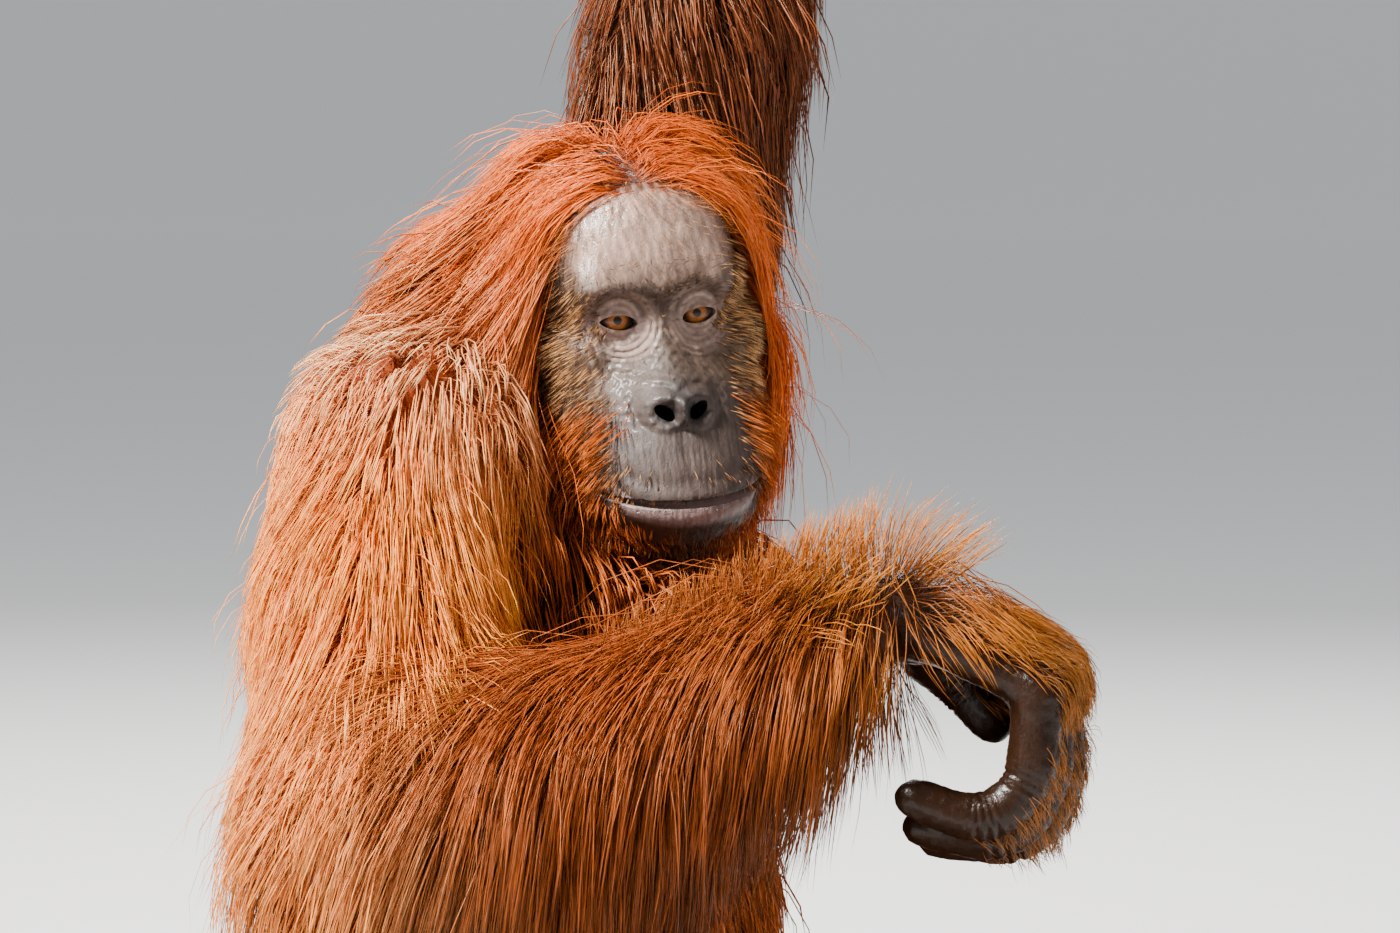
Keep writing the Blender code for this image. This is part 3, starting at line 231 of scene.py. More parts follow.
def torso_shapes():
    return [
        ball((0.0, 0.104, 0.130), (0.128, 0.098, 0.095), 0.024),
        ball((-0.010, 0.068, 0.250), (0.138, 0.114, 0.125), 0.024),
        ball((-0.006, 0.072, 0.400), (0.136, 0.098, 0.122), 0.030),
        ball((0.0, 0.105, 0.490), (0.108, 0.066, 0.090), 0.042),
        cone((-0.115, 0.078, 0.548), (-0.030, 0.104, 0.592), 0.036, 0.042, 0.030),
        cone((-0.030, 0.104, 0.595), (0.105, 0.096, 0.600), 0.042, 0.036, 0.032),
        ball((0.050, -0.022, 0.412), (0.046, 0.050, 0.050), 0.020),
        ball((-0.056, -0.020, 0.405), (0.046, 0.048, 0.050), 0.020),
    ]


def neck_shapes():
    throat = ball(on_head((0.0, 0.0, -0.112)), (0.048, 0.044, 0.040), 0.012, "throat")
    return [cone((0.0, 0.09, 0.56), on_head((0.0, 0.04, -0.045)), 0.058, 0.05, 0.02, "neck"), throat]


def arm_shapes(side):
    shoulder, elbow, wrist = (JOINTS[f"{joint}_{side}"] for joint in ("shoulder", "elbow", "wrist"))
    half, belly = middle(shoulder, elbow, 0.45), middle(elbow, wrist, 0.30)
    fore = middle(elbow, wrist, 0.8)
    upper, lower = "upper_arm_" + side, "forearm_" + side
    return [
        ball(shoulder, 0.046, 0.022, upper),
        cone(shoulder, half, 0.046, 0.044, ARM_COAT, upper),
        cone(half, elbow, 0.044, 0.038, ARM_COAT, upper),
        cone(elbow, belly, 0.038, 0.040, ARM_COAT, lower),
        cone(belly, fore, 0.040, 0.028, ARM_COAT * 0.9, lower),
        cone(fore, wrist, 0.028, 0.024, 0.016, lower),
    ]


def leg_shapes(side):
    hip, knee, ankle = (JOINTS[f"{joint}_{side}"] for joint in ("hip", "knee", "ankle"))
    calf = middle(knee, ankle, 0.40)
    upper, lower = "thigh_" + side, "shin_" + side
    return [
        cone(hip, middle(hip, knee), 0.072, 0.058, LEG_COAT, upper),
        cone(middle(hip, knee), knee, 0.058, 0.042, LEG_COAT, upper),
        cone(knee, calf, 0.040, 0.040, LEG_COAT, lower),
        cone(calf, ankle, 0.040, 0.027, LEG_COAT * 0.7, lower),
    ]


def skull_shapes():
    """The head in its own axes: x left, y back, z up."""
    shapes = [
        head_ball((0.0, 0.012, 0.018), (0.063, 0.076, 0.064)),
        head_ball((0.0, 0.034, 0.026), (0.058, 0.062, 0.060), 0.027),
        head_ball((0.0, -0.028, 0.030), (0.049, 0.037, 0.044)),
        head_cone((-0.034, -0.052, 0.016), (0.034, -0.052, 0.016), 0.012, 0.012),
        head_ball((0.0, -0.058, -0.076), (0.047, 0.046, 0.040)),
        head_ball((0.0, -0.083, -0.086), (0.041, 0.029, 0.026)),
        head_cone((0.0, -0.056, -0.002), (0.0, -0.082, -0.043), 0.009, 0.010),
        head_cone((0.0, -0.030, -0.095), (0.0, 0.030, -0.055), 0.040, 0.056, 0.008),
    ]
    for side in (-1, 1):
        x = np.array((side, 1.0, 1.0))
        shapes += [
            head_cone(x * (0.038, -0.046, -0.026), x * (0.056, -0.004, -0.018), 0.016, 0.016),
            head_cone(x * (0.032, -0.042, -0.052), x * (0.046, 0.004, -0.058), 0.024, 0.024, 0.006),
            head_cone(x * (0.045, 0.004, -0.068), x * (0.014, -0.074, -0.104), 0.021, 0.017, 0.006),
            head_ball(x * (0.0105, -0.088, -0.049), (0.0085, 0.0085, 0.0075)),
            head_cone(x * (0.0125, -0.051, -0.018), x * (0.0200, -0.066, -0.048), 0.0105, 0.0150),
        ]
    return shapes


def ear_roots():
    """The short stalks of flesh that carry the ears."""
    roots = []
    for side in (-1, 1):
        low, high = (np.array(corner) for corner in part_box("ear_" + side_name(side)))
        centre = middle(low, high)
        inner = on_head((side * 0.050, 0.012, -0.014))
        roots.append(cone(inner, middle(inner, centre, 0.90), 0.016, 0.0085, 0.0, "head"))
    return roots


def mouth_line(rise=0.0, inward=0.0):
    """The line of the mouth in the head's own axes, from its right corner to its left."""
    turn = np.linspace(-1.0, 1.0, 25)
    side = 0.0400 * np.sin(turn * math.pi / 2)
    back = -0.1130 + inward + 0.058 * (1.0 - np.cos(turn * math.pi / 2))
    return np.stack([side, back, -0.1048 + rise + 0.0150 * turn**2], axis=1)


def mouth_level(across):
    """The height of the mouth's line in the head's own axes, at each place across it."""
    line = mouth_line()
    return np.interp(across, line[:, 0], line[:, 2])


def lip_shapes():
    shapes = []
    for line, size in ((mouth_line(-0.0085, 0.0095), 0.0085), (mouth_line(0.006, 0.0085), 0.0070)):
        for start, end in zip(line[2:-4:2], line[4:-2:2]):
            shapes.append(head_cone(start, end, size, size))
    return shapes


# Hands and feet
SHOULDER_CAP = JOINTS["shoulder_right"] + (0.0, 0.0, 0.055)
FOREARM = JOINTS["elbow_right"] - JOINTS["wrist_right"]
HAND_OUT = unit((0.5736, -0.8192, 0.0))
HAND_SIDE = np.array((-0.8172, -0.5722, 0.0698))
HAND_UP = np.array((0.0571, 0.0400, 0.9976))
FINGER_SPACING = 0.0242
FINGER_SCALES = (0.93, 1.00, 0.97, 0.86)
FINGER_LENGTHS = (0.059, 0.038, 0.047)
FINGER_RADIUS = 0.0111
THUMB_RADIUS = 0.0098
BRANCH_RADIUS = 0.028
BRANCH_ALONG = unit((0.530, 0.848, 0.0))
PALM_FACES = unit((0.848, -0.530, 0.0))
WRAP_RADIUS = BRANCH_RADIUS + FINGER_RADIUS + 0.0008
BRANCH_CENTRE = JOINTS["wrist_left"] + PALM_FACES * (BRANCH_RADIUS + 0.0140) + 0.098 * UP


def curl_step(slope, length):
    """A step in the plane of the right hand's curl, sloping down from the way out."""
    angle = math.radians(slope)
    return length * (math.cos(angle) * HAND_OUT - math.sin(angle) * HAND_UP)


def right_hand_joints():
    """For each finger from the index to the little one its joints, and then the thumb's."""
    wrist = JOINTS["wrist_right"]
    slopes = ((20, 80, 112, 168), (22, 87, 126, 180), (24, 91, 131, 186), (27, 97, 140, 196))
    fingers = []
    for i, (palm, *bends) in enumerate(slopes):
        side = (i - 1.5) * FINGER_SPACING * HAND_SIDE
        chain = [wrist + 0.45 * side + curl_step(palm, 0.012)]
        chain.append(wrist + side + curl_step(palm, 0.096 - 0.004 * abs(i - 1)))
        for slope, length in zip(bends, FINGER_LENGTHS):
            chain.append(chain[-1] + curl_step(slope, length * FINGER_SCALES[i]))
        fingers.append(chain)
    root = wrist - 0.030 * HAND_SIDE + curl_step(52, 0.028)
    knuckle = root - 0.004 * HAND_SIDE + curl_step(40, 0.030)
    return fingers, [root, knuckle, knuckle + curl_step(52, 0.028)]


def wrap(turn, side, radius):
    """A place on a circle round the branch, starting on the palm's side and going over the top."""
    outward = -math.cos(turn) * PALM_FACES + math.sin(turn) * UP
    return BRANCH_CENTRE + side + radius * outward


def left_hand_joints():
    """The same for the left hand, whose fingers and thumb go round the branch."""
    fingers = []
    for i, scale in enumerate(FINGER_SCALES):
        side = (i - 1.5) * FINGER_SPACING * BRANCH_ALONG
        turns = np.linspace(0.0, sum(FINGER_LENGTHS) * scale / WRAP_RADIUS, 8)
        root = JOINTS["wrist_left"] + 0.45 * side + 0.012 * UP
        fingers.append([root] + [wrap(turn, side, WRAP_RADIUS) for turn in turns])
    side = -0.0605 * BRANCH_ALONG
    turns = np.linspace(math.radians(-20), math.radians(58), 4)
    thumb = [JOINTS["wrist_left"] - 0.034 * BRANCH_ALONG + 0.032 * UP]
    return fingers, thumb + [wrap(turn, side, WRAP_RADIUS + 0.0006) for turn in turns]


HANDS = {"right": right_hand_joints(), "left": left_hand_joints()}


def digit_shapes(joints, radius, part, count, knuckles=3.0):
    """A finger or toe as cones whose radius swells at the knuckles and thins to the tip."""
    path = smooth_path(joints, count)
    along = np.linspace(0.0, 1.0, len(path))
    radii = radius * (0.985 + 0.085 * np.cos(2 * math.pi * along * knuckles) - 0.24 * along)
    pairs = zip(path, path[1:], radii, radii[1:])
    return [cone(a, b, first, second, 0.0, part) for a, b, first, second in pairs]


def smooth_path(points, count):
    """Evenly spaced points on a smooth curve through the given ones."""
    points = np.asarray(points, float)
    padded = np.vstack([2 * points[0] - points[1], points, 2 * points[-1] - points[-2]])
    fine = []
    for i in range(1, len(padded) - 2):
        a, b, c, d = padded[i - 1 : i + 3]
        for t in np.linspace(0.0, 1.0, 12, endpoint=False):
            bend = (2 * a - 5 * b + 4 * c - d) * t**2 + (3 * b - a - 3 * c + d) * t**3
            fine.append(b + 0.5 * ((c - a) * t + bend))
    fine = np.array([*fine, points[-1]])
    reach = np.concatenate([[0.0], np.cumsum(np.linalg.norm(np.diff(fine, axis=0), axis=1))])
    at = np.linspace(0.0, reach[-1], count)
    return np.stack([np.interp(at, reach, fine[:, k]) for k in range(3)], axis=1)


def hand_shapes(side, count=16):
    fingers, thumb = HANDS[side]
    wrist, part = JOINTS["wrist_" + side], "hand_" + side
    shapes = [cone(chain[0], chain[1], 0.0150, 0.0128, 0.008, part) for chain in fingers]
    shapes.append(cone(wrist, middle(fingers[1][0], fingers[2][0]), 0.024, 0.020, 0.008, part))
    shapes.append(cone(middle(wrist, thumb[0], 0.4), thumb[0], 0.016, 0.0115, 0.0, part))
    for chain in fingers:
        shapes += digit_shapes(chain[1:], FINGER_RADIUS, "finger_" + side, count)
    return shapes + digit_shapes(thumb, THUMB_RADIUS, "finger_" + side, count, 2.0)


TOE_RADIUS = 0.0084
TOE_SPACING = 0.0185
TOE_SCALES = (1.0, 1.0, 0.94, 0.84)
FEET = {
    "right": (np.array((-0.124, 0.018, FLOOR + 0.026)), unit((-0.177, -0.984, 0.0)), UP, 10.0),
    "left": (
        np.array((0.126, -0.166, FLOOR + 0.030)),
        unit((-0.60, -0.80, 0.0)),
        unit((0.80, -0.60, 0.0)),
        26.0,
    ),
}


def foot_joints(side):
    """For each toe from the second to the little one its joints, and then the big toe's."""
    heel, ahead, dorsal, curl = FEET[side]
    flat = side == "right"
    lateral = np.cross(ahead, dorsal) * (1 if flat else -1)
    centre = heel - 0.004 * UP if flat else heel - 0.036 * lateral
    toes = []
    for i, scale in enumerate(TOE_SCALES):
        across = (i - 1.5) * TOE_SPACING
        root = centre + ahead * 0.060 + 0.6 * across * lateral
        knuckle = centre + ahead * (0.138 - 0.005 * i) + across * lateral
        if flat:
            root[2], knuckle[2] = FLOOR + 0.030, FLOOR + 0.0135
        chain, slope = [root, knuckle], 0.0
        for length, share in ((0.046, 0.5), (0.032, 1.2), (0.026, 1.3)):
            slope += math.radians(curl * share)
            step = ahead * math.cos(slope) - dorsal * math.sin(slope)
            step = ahead * math.cos(slope * 0.5) if flat else step
            chain.append(chain[-1] + step * length * scale)
        if flat:
            for point, rise in zip(chain[2:], (0.0085, 0.0045, 0.0)):
                point[2] = FLOOR + TOE_RADIUS * 0.92 + rise
        toes.append(chain)
    big = [middle(toes[0][0], toes[0][1], 0.25) - 0.018 * lateral]
    big.append(big[0] + ahead * 0.030 - lateral * 0.022)
    big.append(big[1] + ahead * 0.026 - lateral * 0.006)
    if flat:
        for point, rise in zip(big, (0.020, 0.014, 0.012)):
            point[2] = FLOOR + rise
    return toes, big


FOOT_JOINTS = {side: foot_joints(side) for side in FEET}


def foot_shapes(side, count=12):
    heel, (toes, big), ankle = FEET[side][0], FOOT_JOINTS[side], JOINTS["ankle_" + side]
    part = "foot_" + side
    ball_of_foot = middle(toes[1][0], toes[2][0])
    shapes = [
        ball(heel, 0.028, 0.004, part),
        cone(ankle, middle(heel, ankle), 0.027, 0.026, 0.010, part),
        cone(heel, ball_of_foot, 0.026, 0.022, 0.006, part),
        cone(ankle, ball_of_foot, 0.026, 0.020, 0.008, part),
        cone(toes[0][0], big[0], 0.016, 0.0125, 0.0, part),
    ]
    shapes += [cone(chain[0], chain[1], 0.0155, 0.0125, 0.004, part) for chain in toes]
    for chain in toes:
        shapes += digit_shapes(chain[1:], TOE_RADIUS, "toe_" + side, count)
    return shapes + digit_shapes(big, 0.0100, "toe_" + side, count, 2.0)


# Meshes
def coordinates(mesh):
    flat = np.empty(len(mesh.vertices) * 3, np.float32)
    mesh.vertices.foreach_get("co", flat)
    return flat.reshape(-1, 3).astype(float)


def vertex_normals(mesh):
    """The way straight out of the mesh at each vertex."""
    flat = np.empty(len(mesh.vertices) * 3, np.float32)
    mesh.vertex_normals.foreach_get("vector", flat)
    return flat.reshape(-1, 3).astype(float)


def move_vertices(mesh, points):
    mesh.vertices.foreach_set("co", np.asarray(points, np.float32).ravel())
    mesh.update()


def linked(name, data):
    """An object in the scene with that mesh, camera or light."""
    thing = bpy.data.objects.new(name, data)
    bpy.context.scene.collection.objects.link(thing)
    return thing


def from_bmesh(name, bm):
    mesh = bpy.data.meshes.new(name)
    bm.to_mesh(mesh)
    bm.free()
    return linked(name, mesh)


def pulled_out(bm, edges):
    """New edges extruded from the given ones, and their vertices."""
    extruded = bmesh.ops.extrude_edge_only(bm, edges=edges)["geom"]
    edges = [part for part in extruded if isinstance(part, bmesh.types.BMEdge)]
    return edges, list({vertex for edge in edges for vertex in edge.verts})


def applied(thing):
    """The object with its modifiers made part of its mesh."""
    graph = bpy.context.evaluated_depsgraph_get()
    mesh = bpy.data.meshes.new_from_object(thing.evaluated_get(graph))
    thing.modifiers.clear()
    thing.data = mesh
    return thing


def remeshed(name, shapes, voxel, blend):
    """Balls set along every shape, fused by a voxel remesh and settled on the smooth blend."""
    bm = bmesh.new()
    for shape in shapes:
        if shape["kind"] == "ball":
            place = placing(shape["centre"], shape["turn"], shape["radii"])
            bmesh.ops.create_icosphere(bm, subdivisions=3, radius=1.0, matrix=place)
            continue
        length = np.linalg.norm(shape["end"] - shape["start"])
        small, large = shape["radii"]
        count = max(2, int(math.ceil(length / (0.45 * min(small, large)))) + 1)
        for along in np.linspace(0.0, 1.0, count):
            place = Matrix.Translation(middle(shape["start"], shape["end"], along))
            radius = small + along * (large - small)
            bmesh.ops.create_icosphere(bm, subdivisions=2, radius=radius, matrix=place)
    thing = from_bmesh(name, bm)
    remesh = thing.modifiers.new("remesh", "REMESH")
    remesh.mode = "VOXEL"
    remesh.voxel_size = voxel
    thing = applied(thing)
    move_vertices(thing.data, settle(coordinates(thing.data), shapes, blend, 3))
    return thing


def placing(centre, turn, scale):
    """A matrix that scales, turns by an array of axes, and moves to the centre."""
    return Matrix.Translation(centre) @ Matrix(turn.tolist()).to_4x4() @ Matrix.Diagonal((*scale, 1.0))


def joined(first, second, operation="UNION"):
    """The first object joined with, or cut by, the second, which is removed."""
    modifier = first.modifiers.new("join", "BOOLEAN")
    modifier.operation = operation
    modifier.solver = "MANIFOLD"
    modifier.object = second
    first = applied(first)
    bpy.data.objects.remove(second)
    return first


def set_roughness(mesh, values):
    """Stores a roughness at every vertex, which the skin's material reads."""
    layer = mesh.attributes.new("rough", "FLOAT", "POINT")
    layer.data.foreach_set("value", (np.ones(len(mesh.vertices)) * values).astype(np.float32))


def paint(mesh, name, colours):
    """Stores a colour at every vertex, which the material reads."""
    layer = mesh.color_attributes.new(name, "FLOAT_COLOR", "POINT")
    rows = np.ones((len(mesh.vertices), 4), np.float32)
    rows[:, :3] = colours
    layer.data.foreach_set("color", rows.ravel())


def finished(piece, material, slot, *nodes):
    """Gives the piece its material and body, and hides the nodes that it stands for; the slot is not used."""
    indices = piece.data.attributes.get("material_index")
    if indices is not None:
        piece.data.attributes.remove(indices)
    piece.data.materials.clear()
    piece.data.materials.append(material)
    piece.data.shade_smooth()
    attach(piece, "root")
    if nodes:
        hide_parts(*nodes)
    return piece


# Smooth pseudo-random fields, the same at a place in every run
def ripple(points, size, seed, octaves=2):
    """Smooth noise from -1 to 1 that varies over about that size."""
    rng = np.random.default_rng(seed)
    total, weight = np.zeros(len(points)), 0.0
    for octave in range(octaves):
        for _ in range(7):
            way = unit(rng.normal(size=3)) * 2 * math.pi / size * 2**octave
            total += np.sin(points @ way + rng.uniform(0, 2 * math.pi)) * 0.5**octave
        weight += 0.5**octave * 7**0.5 * 1.3
    return np.clip(total / weight, -1.0, 1.0)


def bump(distance, width):
    """A smooth hill one high at no distance."""
    return np.exp(-((distance / width) ** 2))


def step(values, low, high):
    """Smoothly from 0 at low to 1 at high."""
    share = np.clip((values - low) / (high - low), 0.0, 1.0)
    return share * share * (3.0 - 2.0 * share)


def mix(first, second, share):
    """Blends two colours by a share for each row."""
    share = np.asarray(share)[..., None]
    return (1.0 - share) * np.asarray(first) + share * np.asarray(second)


# Face
def eye_frame(local, side):
    """Distance from the eye's centre line, seen from the front, and the angle round it."""
    across = side * (local[:, 0] - side * EYE_PLACE[0])
    rise = local[:, 2] - EYE_PLACE[2]
    return across, rise, np.hypot(across, rise)


def sculpt_face(local):
    """Hollows, lids, folds, nose, lips and wrinkles, as moves of the head's skin in its own axes."""
    local = local.copy()
    front = step(-local[:, 1], 0.028, 0.040)
    for side in (-1, 1):
        sculpt_eye(local, side, front)
        sculpt_nose_wing(local, side, front)
    sculpt_nose_ridge(local)
    sculpt_lips(local)
    wrinkle(local, front)
    return local


def sculpt_eye(local, side, front):
    """The socket, the folds round the lids, the bag and the ridge of the brow, at one eye."""
    across, rise, reach = eye_frame(local, side)
    local[:, 1] += 0.0042 * bump(reach, 0.0165) * front
    folds = np.cos(2 * math.pi * (reach - 0.0130) / 0.0034) * step(reach, 0.0125, 0.015)
    folds *= (1.0 - step(reach, 0.020, 0.027)) * (0.45 + 0.55 * step(-rise, -0.004, 0.004)) * front
    local[:, 1] -= 0.00062 * folds * (1.0 + 0.6 * ripple(local, 0.016, 14, 1))
    bag = bump(np.hypot(across * 0.8, rise + 0.0150), 0.0075) * front
    local[:, 1] -= 0.0016 * bag
    crease = bump(reach - 0.0138, 0.0016) * (rise > -0.002) * front
    local[:, 1] += 0.0018 * crease
    radius = EYE_RADIUS + LID_THICKNESS
    lid = EYE_PLACE[1] - np.sqrt(np.maximum(radius**2 - (reach * 0.97) ** 2, 0.0))
    over = (reach < radius * 0.985) & (local[:, 1] < 0)
    local[over, 1] = np.minimum(local[over, 1], lid[over])
    brow = bump(rise - 0.0190 + 0.10 * across**2 / 0.02, 0.0055) * step(0.030 - abs(across), 0, 0.01)
    local[:, 1] -= 0.0022 * brow * front


def sculpt_nose_wing(local, side, front):
    """The rim of a nostril, the groove outside it, the corner of the mouth and the hollow cheek."""
    nostril = np.hypot((local[:, 0] - side * NOSTRIL_SIDE) / 0.0066, (local[:, 2] + 0.0530) / 0.0060)
    nose_front = step(-local[:, 1], 0.058, 0.073)
    local[:, 1] -= 0.0021 * bump(nostril - 1.40, 0.50) * nose_front
    local[:, 1] += 0.0022 * bump(nostril - 2.35, 0.40) * nose_front * step(local[:, 2], -0.066, -0.058)
    corner = np.hypot(local[:, 0] - side * 0.038, (local[:, 2] + 0.093) * 0.8)
    local[:, 1] += 0.0022 * bump(corner, 0.0060) * step(-local[:, 1], 0.04, 0.06)
    cheek = np.hypot(local[:, 0] - side * 0.0270, (local[:, 2] + 0.0400) * 0.7)
    local[:, 1] += 0.0018 * bump(cheek, 0.0075) * front


def sculpt_nose_ridge(local):
    """The groove of the upper lip, the tip of the nose and the ridge between the nostrils."""
    groove = bump(local[:, 0], 0.0035) * step(-local[:, 2], 0.060, 0.066) * step(local[:, 2], -0.097, -0.090)
    local[:, 1] += 0.0008 * groove * step(-local[:, 1], 0.08, 0.09)
    tip = bump(np.hypot(local[:, 0] * 0.85, local[:, 2] + 0.0435), 0.0080) * step(-local[:, 1], 0.066, 0.078)
    septum = bump(local[:, 0], 0.0038) * step(local[:, 2], -0.064, -0.058) * step(-local[:, 2], 0.036, 0.048)
    local[:, 1] -= 0.0052 * tip + 0.0030 * septum * step(-local[:, 1], 0.062, 0.075)


def sculpt_lips(local):
    """Rolls the lips out and the skin below and above them in."""
    below = mouth_level(local[:, 0]) - local[:, 2]
    lips = step(0.046 - abs(local[:, 0]), 0.0, 0.012) * step(-local[:, 1], 0.050, 0.062)
    outward = unit(np.column_stack([local[:, 0] * 0.7, local[:, 1] + 0.040, np.zeros(len(local))]))
    roll = 0.0024 * bump(below - 0.0075, 0.0062) - 0.0022 * bump(below - 0.0195, 0.0050)
    roll += 0.0010 * bump(below + 0.0045, 0.0040) - 0.0008 * bump(below + 0.0120, 0.0045)
    local += outward * (roll * lips)[:, None]


def wrinkle(local, front):
    """Fine lines, each set in its own direction: muzzle, cheeks, forehead and round the nose."""
    muzzle = step(-local[:, 2], 0.055, 0.070) * step(-local[:, 1], 0.06, 0.08)
    fine = ripple(local * (1.0, 0.3, 0.20), 0.0030, 11, 1) * muzzle
    skin = ripple(local, 0.0050, 12) * front * (1.0 - muzzle) * (1.0 - step(local[:, 2], 0.012, 0.022))
    brow_lines = brow_wrinkles(local) * front
    lines = ripple(local * (0.45, 0.3, 1.0), 0.0040, 15, 1) * front * (1.0 - muzzle) * (local[:, 2] < 0.02)
    local[:, 1] += 0.00026 * fine + 0.00050 * skin + 0.00022 * brow_lines + 0.00035 * lines


def brow_wrinkles(local):
    """Fine upright wrinkles on the forehead, from -1 to 1."""
    return ripple(local * (1.0, 0.4, 0.12), 0.0032, 13, 1) * step(local[:, 2], 0.012, 0.024)


def nostril_cutter(side):
    """A tilted egg that opens a nostril."""
    bm = bmesh.new()
    tilt = np.array(Matrix.Rotation(math.radians(50.0 * side), 3, "Y"))
    place = placing(on_head((side * NOSTRIL_SIDE, -0.0960, -0.0532)), HEAD_TURN @ tilt, NOSTRIL_RADII)
    bmesh.ops.create_icosphere(bm, subdivisions=4, radius=1.0, matrix=place)
    return from_bmesh("cutter", bm)


def lid_cutter(side):
    """An almond-shaped plug that opens the half-closed lids."""
    bm = bmesh.new()
    bmesh.ops.create_uvsphere(bm, u_segments=48, v_segments=24, radius=1.0)
    for vertex in bm.verts:
        x, y, z = vertex.co
        height = UPPER_LID if z > 0 else LOWER_LID
        arch = 1.0 - abs(x) ** 2.4 * 0.35
        droop = 0.0010 * side * x - 0.0012
        place = np.array((x * 0.0112, y * 0.0110 - 0.0085, z * height * arch + droop))
        vertex.co = on_head(place + EYE_PLACE * (side, 1.0, 1.0))
    return from_bmesh("cutter", bm)


def mouth_cutter(shapes):
    """A thin wedge let in along the line of the mouth, widest in the middle."""
    line, angles = mouth_line(), np.linspace(-1.0, 1.0, 25) * math.pi / 2
    level_ways = unit(np.column_stack([0.058 * np.sin(angles), -0.0400 * np.cos(angles), 0.0 * angles]))
    for _ in range(8):
        outside = np.clip(flesh_distance(on_head(line), shapes, HEAD_BLEND), -0.01, 0.01)
        line = line - outside[:, None] * level_ways
    bm = bmesh.new()
    rings = []
    for place, turn, outward in zip(line, np.linspace(-1.0, 1.0, 25), level_ways):
        rise = np.array((0.0, 0.0, 0.0005 + 0.0015 * (1.0 - turn**2)))
        outer, deep = place + 0.008 * outward, place - (0.009 - 0.006 * abs(turn)) * outward
        corners = (outer + 2.0 * rise, deep + rise, deep - rise, outer - rise)
        rings.append([bm.verts.new(on_head(corner)) for corner in corners])
    bm.faces.new(rings[0])
    bm.faces.new(rings[-1][::-1])
    for ring, after in zip(rings, rings[1:]):
        for j in range(4):
            bm.faces.new((ring[j], after[j], after[j - 1], ring[j - 1]))
    bmesh.ops.recalc_face_normals(bm, faces=bm.faces[:])
    return from_bmesh("cutter", bm)


FACE = {
    "hide": (0.062, 0.038, 0.026),
    "forehead": (0.300, 0.190, 0.145),
    "brow": (0.030, 0.014, 0.008),
    "lid": (0.230, 0.150, 0.120),
    "rim": (0.240, 0.160, 0.130),
    "chin": (0.026, 0.014, 0.009),
    "muzzle": (0.056, 0.038, 0.031),
    "nose": (0.022, 0.016, 0.014),
    "lip": (0.140, 0.088, 0.080),
    # Near-black painted shade, for the insides of the nostrils and the line of the mouth
    "inside": (0.006, 0.004, 0.004),
    "cheek": (0.095, 0.054, 0.030),
    "under_coat": (0.070, 0.018, 0.006),
}


def face_colours(local):
    """The markings of the head's skin: dark mask, bare pale brow, pale lids, lead-grey muzzle, with painted
    shade in the nostrils, along the mouth, in the lids' folds and in the wrinkles.
    """
    x, y, z = local.T
    colours = mix(FACE["hide"], FACE["cheek"], step(abs(x), 0.026, 0.050) * step(-z, -0.005, 0.02))
    bare = step(z, 0.010, 0.036) * (1 - step(abs(x), 0.036, 0.056))
    colours = mix(colours, FACE["forehead"], bare)
    muzzle = step(-z, 0.036, 0.052) * step(-y, 0.052, 0.070)
    colours = mix(colours, FACE["muzzle"], muzzle)
    nose = bump(np.hypot(x, z + 0.047), 0.019) * step(-y, 0.070, 0.084)
    colours = mix(colours, FACE["nose"], nose)
    for side in (-1, 1):
        across, rise, reach = eye_frame(local, side)
        ring = (1.0 - step(reach, 0.017, 0.026)) * (y < 0)
        # Pale lids round each eye; the concentric darker bands in them are painted shade of the skin's folds
        colours = mix(colours, FACE["lid"], ring * (0.75 + 0.25 * np.cos(reach * 1700)))
        arc = bump(brow_arc(across, rise), 0.0042) * step(0.026 - abs(across + 0.004), 0, 0.012)
        colours = mix(colours, FACE["brow"], 0.90 * arc * (y < 0))
        # Painted shade: a dark line in the fold over each upper lid
        crease = bump(reach - 0.0142, 0.0013) * step(rise, -0.001, 0.004) * (y < 0)
        colours = mix(colours, FACE["brow"], 0.75 * crease)
        edge = bump(reach - 0.0116, 0.0013) * (rise < 0.001) * (y < 0)
        colours = mix(colours, FACE["rim"], edge)
        # Painted shade: the inside of each nostril, near-black
        hole = np.hypot((x - side * 0.0096) / 0.0062, (z + 0.0535) / 0.0054)
        colours = mix(colours, FACE["inside"], (1 - step(hole, 0.8, 1.15)) * (y < -0.05))
    between = bump(x, 0.011) * bump(z - 0.006, 0.010) * (y < 0)
    colours = mix(colours, FACE["brow"], 0.7 * between)
    level = mouth_level(x)
    inside_mouth = abs(x) < 0.0400
    lower = step(level - z, 0.0000, 0.0020) * (1 - step(level - z, 0.0100, 0.0140))
    colours = mix(colours, FACE["chin"], step(level - z, 0.0090, 0.0130) * (y < -0.04))
    # Painted shade: a near-black line along the mouth's cut
    slit = 0.8 * bump(level - z, 0.0016) * inside_mouth * step(-y, 0.045, 0.055)
    colours = mix(colours, FACE["inside"], slit)
    colours = mix(colours, FACE["lip"], lower * inside_mouth * step(-y, 0.052, 0.066))
    under_coat = np.maximum(step(y, -0.006, 0.010), step(hairline(local), -0.004, 0.003))
    colours = mix(colours, FACE["under_coat"], under_coat)
    tone_change = ripple(local, 0.011, 21) * 0.16 + ripple(local, 0.0034, 22) * 0.10
    # Painted shade: darker in the grooves of the forehead's and the muzzle's wrinkles, from the same ripples
    # that sculpt them
    tone_change -= 0.22 * brow_wrinkles(local) + 0.20 * ripple(local * (1.0, 0.3, 0.20), 0.0030, 11, 1) * muzzle
    return colours * (1.0 + tone_change[:, None])


def brow_arc(across, rise):
    """Height over the dark arc of the eyebrow, which peaks a little to the nose's side of the eye."""
    return rise - 0.0195 + 26.0 * (across + 0.004) ** 2


